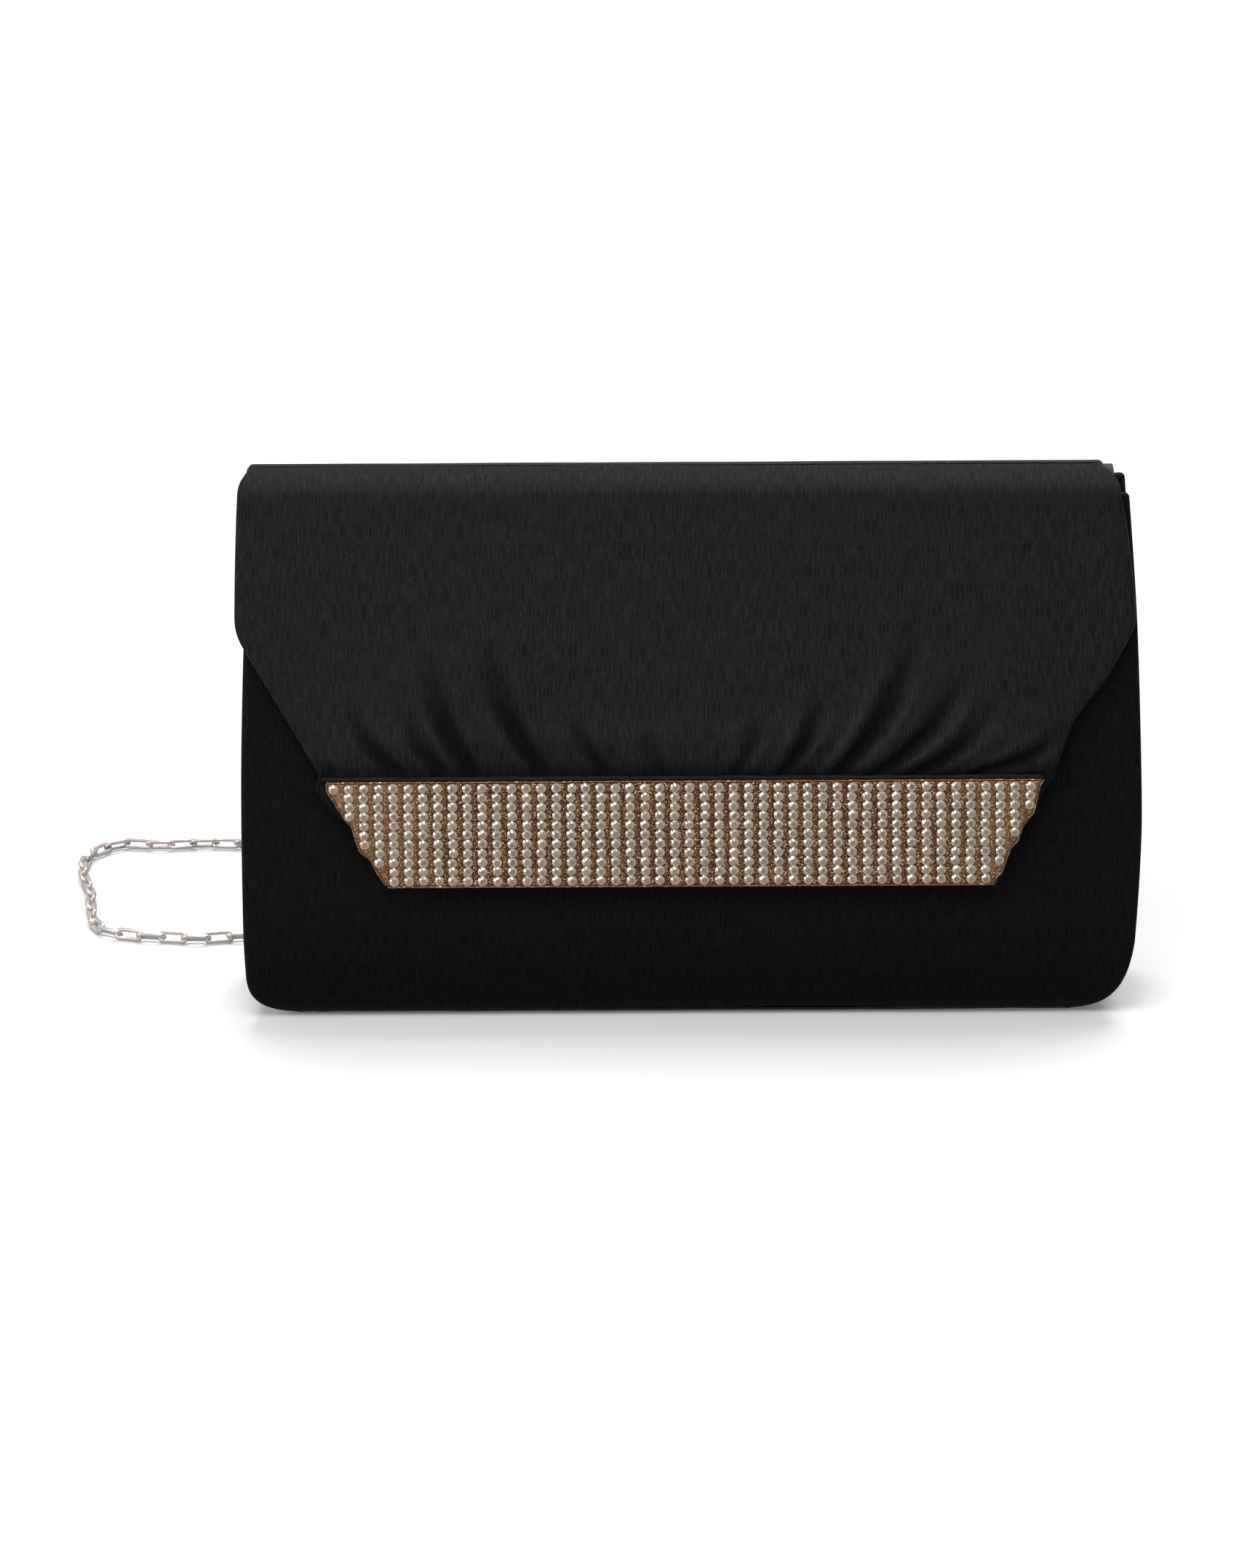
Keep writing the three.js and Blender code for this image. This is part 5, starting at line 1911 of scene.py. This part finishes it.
# ---- Strap hardware ----
@dataclass
class StrapHardware:
    """A satin tab, a swinging ring, a sprung clasp and the strap's jump ring, on one side of the back."""

    name: str
    x: float
    axis_z: float = 134.5
    stand_off: float = 2.0
    ring_wire: float = 0.7
    ring_half: float = 5.5
    ring_drop: float = 8.0
    lean: float = math.radians(21)
    hook_inner: float = 3.2
    hook_outer: float = 4.8
    eye_drop: float = 13.5
    eye: float = 1.2
    eye_rim: float = 2.3
    thick: float = 2.6
    jump_radius: float = 2.4
    jump_wire: float = 0.55
    tab_width: float = 8.0
    lever_pivot: tuple[float, float] = (4.0, -4.9)

    def __post_init__(self) -> None:
        """Works out where the ring and the hook are."""
        tilt = math.atan(SIZES.slope)
        self.up = np.array([0.0, -math.sin(tilt), math.cos(tilt)])
        self.out = np.array([0.0, math.cos(tilt), math.sin(tilt)])
        self.pivot = np.array([self.x, SIZES.wall_y(self.axis_z), self.axis_z]) + self.out * self.stand_off
        self.hang = np.array([0.0, -math.sin(self.lean), math.cos(self.lean)])
        lowest = self.pivot - self.hang * self.ring_drop
        self.hook = lowest + np.array([0.0, 1.5, -1.6])

    def build(self, finishes: Finishes) -> list[Piece]:
        """Makes the hardware.

        Args:
            finishes: The bag's finishes.

        Returns:
            The pieces that are on the strap.
        """
        side = self.name
        put(self._tab(finishes), Slot.SATIN, Body.BAG.value, f"{side}_ring_tab")
        put(self._tab_stitches(finishes), Slot.SATIN, Body.BAG.value)
        fittings = []
        for piece, carrier, node in (
            (self._ring(), f"{side}_ring", "strap_ring"), (self._clasp(), Body.BAG.value, "clasp_body"),
            (self._lever(), f"{side}_lever", "clasp_lever"), (self._pin(), Body.BAG.value, "lever_pin"),
            (self._jump_ring(), Body.BAG.value, "jump_ring"),
        ):
            put(dress(piece, finishes.silver), Slot.SILVER, carrier, f"{side}_{node}")
            fittings.append(piece)
        return fittings[1:]

    def _tab(self, finishes: Finishes) -> Piece:
        """A satin strip folded round the ring's bar, both ends under the lapped satin."""
        line = spline([
            (11, -1.45), (6, -1.45), (3, -1.45), (0, -1.4), (-1, -1.0), (-1.4, 0), (-1, 1.0), (0, 1.4),
            (1.1, 1.0), (1.9, 0.2), (2.8, -0.55), (4, -0.8), (7, -0.8), (11, -0.8),
        ], 5)
        across = np.linspace(-self.tab_width / 2, self.tab_width / 2, 13)
        points = (
            self.pivot + across[None, :, None] * np.array([1.0, 0.0, 0.0])
            + line[:, None, :1] * self.up + line[:, None, 1:] * self.out
        )
        uv = np.stack(np.meshgrid(across, run_along(line)), axis=-1)
        tab = thicken(cloth_from(f"{self.name}_satin_tab", points, uv), 0.5)
        bevel = tab.modifiers.new("soft_edges", "BEVEL")
        bevel.width, bevel.segments = 0.12 * MM, 2
        return dress(tab, finishes.satin)

    def _tab_stitches(self, finishes: Finishes) -> Piece:
        """Two stitches across the tab, just under the lapped satin."""
        across = np.linspace(-2.6, 2.6, 3)
        rows = [(x, 3.9) for x in across]
        points = np.array([self.pivot + [x, 0, 0] + self.up * u + self.out * -0.52 for x, u in rows])
        forward = np.repeat([[1.0, 0.0, 0.0]], len(points), 0)
        up = np.repeat(self.out[None], len(points), 0)
        name = f"{self.name}_tab_stitches"
        maker = Repeat(name, stitch("stitch_shape"), finishes.thread, 0.05, 0.03, seed=13)
        return maker.build(points, forward, up)

    def _ring(self) -> Piece:
        """The D ring's wire, hanging from its straight bar."""
        half, leg = self.ring_half, self.ring_drop - self.ring_half
        corner = bezier([(half - 0.9, 0), (half, 0), (half, -0.9)], 4)
        bow = np.linspace(0, -math.pi, 25)
        arc = np.stack([half * np.cos(bow), -leg + half * np.sin(bow)], axis=1)
        flat = np.vstack([[(0, 0)], corner, arc, (corner * [-1, 1])[::-1]])
        points = self.pivot + flat[:, :1] * np.array([1.0, 0, 0]) + flat[:, 1:] * self.hang
        return tube(f"{self.name}_d_ring", points, self.ring_wire, 14, closed=True)

    def _plate(self, name: str, outline: Sequence[tuple[float, float]], half: float, bevel: float,
               hole: tuple[float, float, float] | None = None) -> Piece:
        """A plate drawn in (y, z) about the hook's middle, with rounded edges.

        Args:
            name: The object's name.
            outline: Its outline.
            half: Half its thickness.
            bevel: Radius of its edges.
            hole: A round hole's middle and radius.

        Returns:
            The plate.
        """
        data = bpy.data.curves.new(name, "CURVE")
        data.dimensions, data.fill_mode = "2D", "BOTH"
        data.extrude, data.bevel_depth, data.bevel_resolution = (half - bevel) * MM, bevel * MM, 3
        data.offset = -bevel * MM
        loops = [outline]
        if hole:
            turn = np.linspace(0, 2 * math.pi, 25)[:-1]
            loops.append([(hole[0] + hole[2] * math.cos(t), hole[1] + hole[2] * math.sin(t)) for t in turn])
        for loop in loops:
            line = data.splines.new("POLY")
            line.points.add(len(loop) - 1)
            line.use_cyclic_u = True
            for point, (y, z) in zip(line.points, loop):
                point.co = (y * MM, z * MM, 0, 1)
        piece = finished(name, linked(name + "_curve", data))
        basis = Matrix(((0, 0, 1, 0), (1, 0, 0, 0), (0, 1, 0, 0), (0, 0, 0, 1)))
        piece.data.transform(Matrix.Translation(Vector(self.hook) * MM) @ basis)
        turn_outwards(piece, PLATE_WELD)
        return piece

    def _clasp(self) -> Piece:
        """The clasp's body: an open hook, a shank slotted for the lever, and an eye."""
        def arc(middle: tuple[float, float], radius: float, start: float, end: float, steps: int) -> list:
            """Points of an arc given in degrees."""
            turns = np.radians(np.linspace(start, end, steps))
            return [(middle[0] + radius * math.cos(t), middle[1] + radius * math.sin(t)) for t in turns]

        outline = [
            *arc((0, 0), self.hook_outer, 42, 235, 26), (-2.1, -8.5),
            *arc((0, -self.eye_drop), self.eye_rim, 150, 390, 20),
            (3, -8), (5.1, -5.6), (5.1, -4.1), (2.2, -4.1),
            *arc((0, 0), self.hook_inner, 292, 42, 24),
        ]
        hole = (0, -self.eye_drop, self.eye)
        piece = self._plate(f"{self.name}_clasp", outline, self.thick / 2, 0.45, hole)
        low, high = self.hook + [-0.8, 2.7, -6.0], self.hook + [0.8, 6.0, -3.9]
        slot = shell_from("slot_tool", *box_shell(low, high))
        cut = piece.modifiers.new("lever_slot", "BOOLEAN")
        cut.object, cut.solver = slot, "EXACT"
        return finished(piece.name, piece, slot)

    def _lever(self) -> Piece:
        """The sprung lever that closes the hook."""
        outline = [
            (3.2, -5.4), (4.8, -5.4), (4.95, -2), (4.75, 1.2), (4.2, 1.9), (3.5, 1.9), (3.75, 0), (3.4, -3.6),
        ]
        return self._plate(f"{self.name}_lever_blade", outline, 0.5, 0.14)

    def _pin(self) -> Piece:
        """The lever's pin, with slightly domed ends."""
        half = self.thick / 2 + 0.12
        x = np.array([-half, -half + 0.12, 0.0, half - 0.12, half])
        middle = self.hook + [0.0, *self.lever_pivot]
        path = middle + np.stack([x, 0 * x, 0 * x], axis=1)
        return tube(f"{self.name}_pin", path, 0.42, 14)

    def _jump_ring(self) -> Piece:
        """The round ring that joins the clasp's eye to the strap."""
        turn = np.linspace(0, 2 * math.pi, 41)[:-1]
        middle = self.hook - [0.0, 0.0, self.eye_drop + self.jump_radius]
        path = middle + self.jump_radius * np.stack([np.cos(turn), 0 * turn, np.sin(turn)], axis=1)
        return tube(f"{self.name}_round_ring", path, self.jump_wire, 12, closed=True)


def box_shell(low: Array, high: Array) -> tuple[list, list]:
    """Points and faces of a box between two corners."""
    points = [(x, y, z) for x in (low[0], high[0]) for y in (low[1], high[1]) for z in (low[2], high[2])]
    return points, [(0, 1, 3, 2), (4, 6, 7, 5), (0, 4, 5, 1), (2, 3, 7, 6), (0, 2, 6, 4), (1, 5, 7, 3)]


# ---- Pieces whose shape the frame already has ----
def dress_frame_pieces(finishes: Finishes) -> None:
    """Gives the boards, the wadding and the snap their finishes."""
    for material, slot, nodes in (
        (finishes.board, Slot.BOARD, ("back_board", "base_board", "front_board", "flap_board")),
        (finishes.wadding, Slot.WADDING, ("fold_wadding",)),
        (finishes.snap, Slot.SNAP, ("snap_socket", "snap_stud", "snap_socket_washer", "snap_stud_washer")),
        (finishes.magnet, Slot.MAGNET, ("snap_magnet",)),
    ):
        for node in nodes:
            dress(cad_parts[node], material)


def main() -> None:
    """Builds the studio and the bag."""
    logging.basicConfig(level=logging.INFO, format="%(message)s")
    Studio().build()
    finishes = Finishes()
    chain = ChainStrap()
    strap = chain.build(finishes)
    fittings = []
    for name, side in (("left", -1), ("right", 1)):
        fittings += StrapHardware(name, side * SIZES.hardware_x).build(finishes)
    chain.declare(strap, fittings)
    BodyCloth().build(finishes)
    FlapCloth().build(finishes)
    CrystalBar().build(finishes)
    dress_frame_pieces(finishes)


if __name__ == "__main__":
    main()
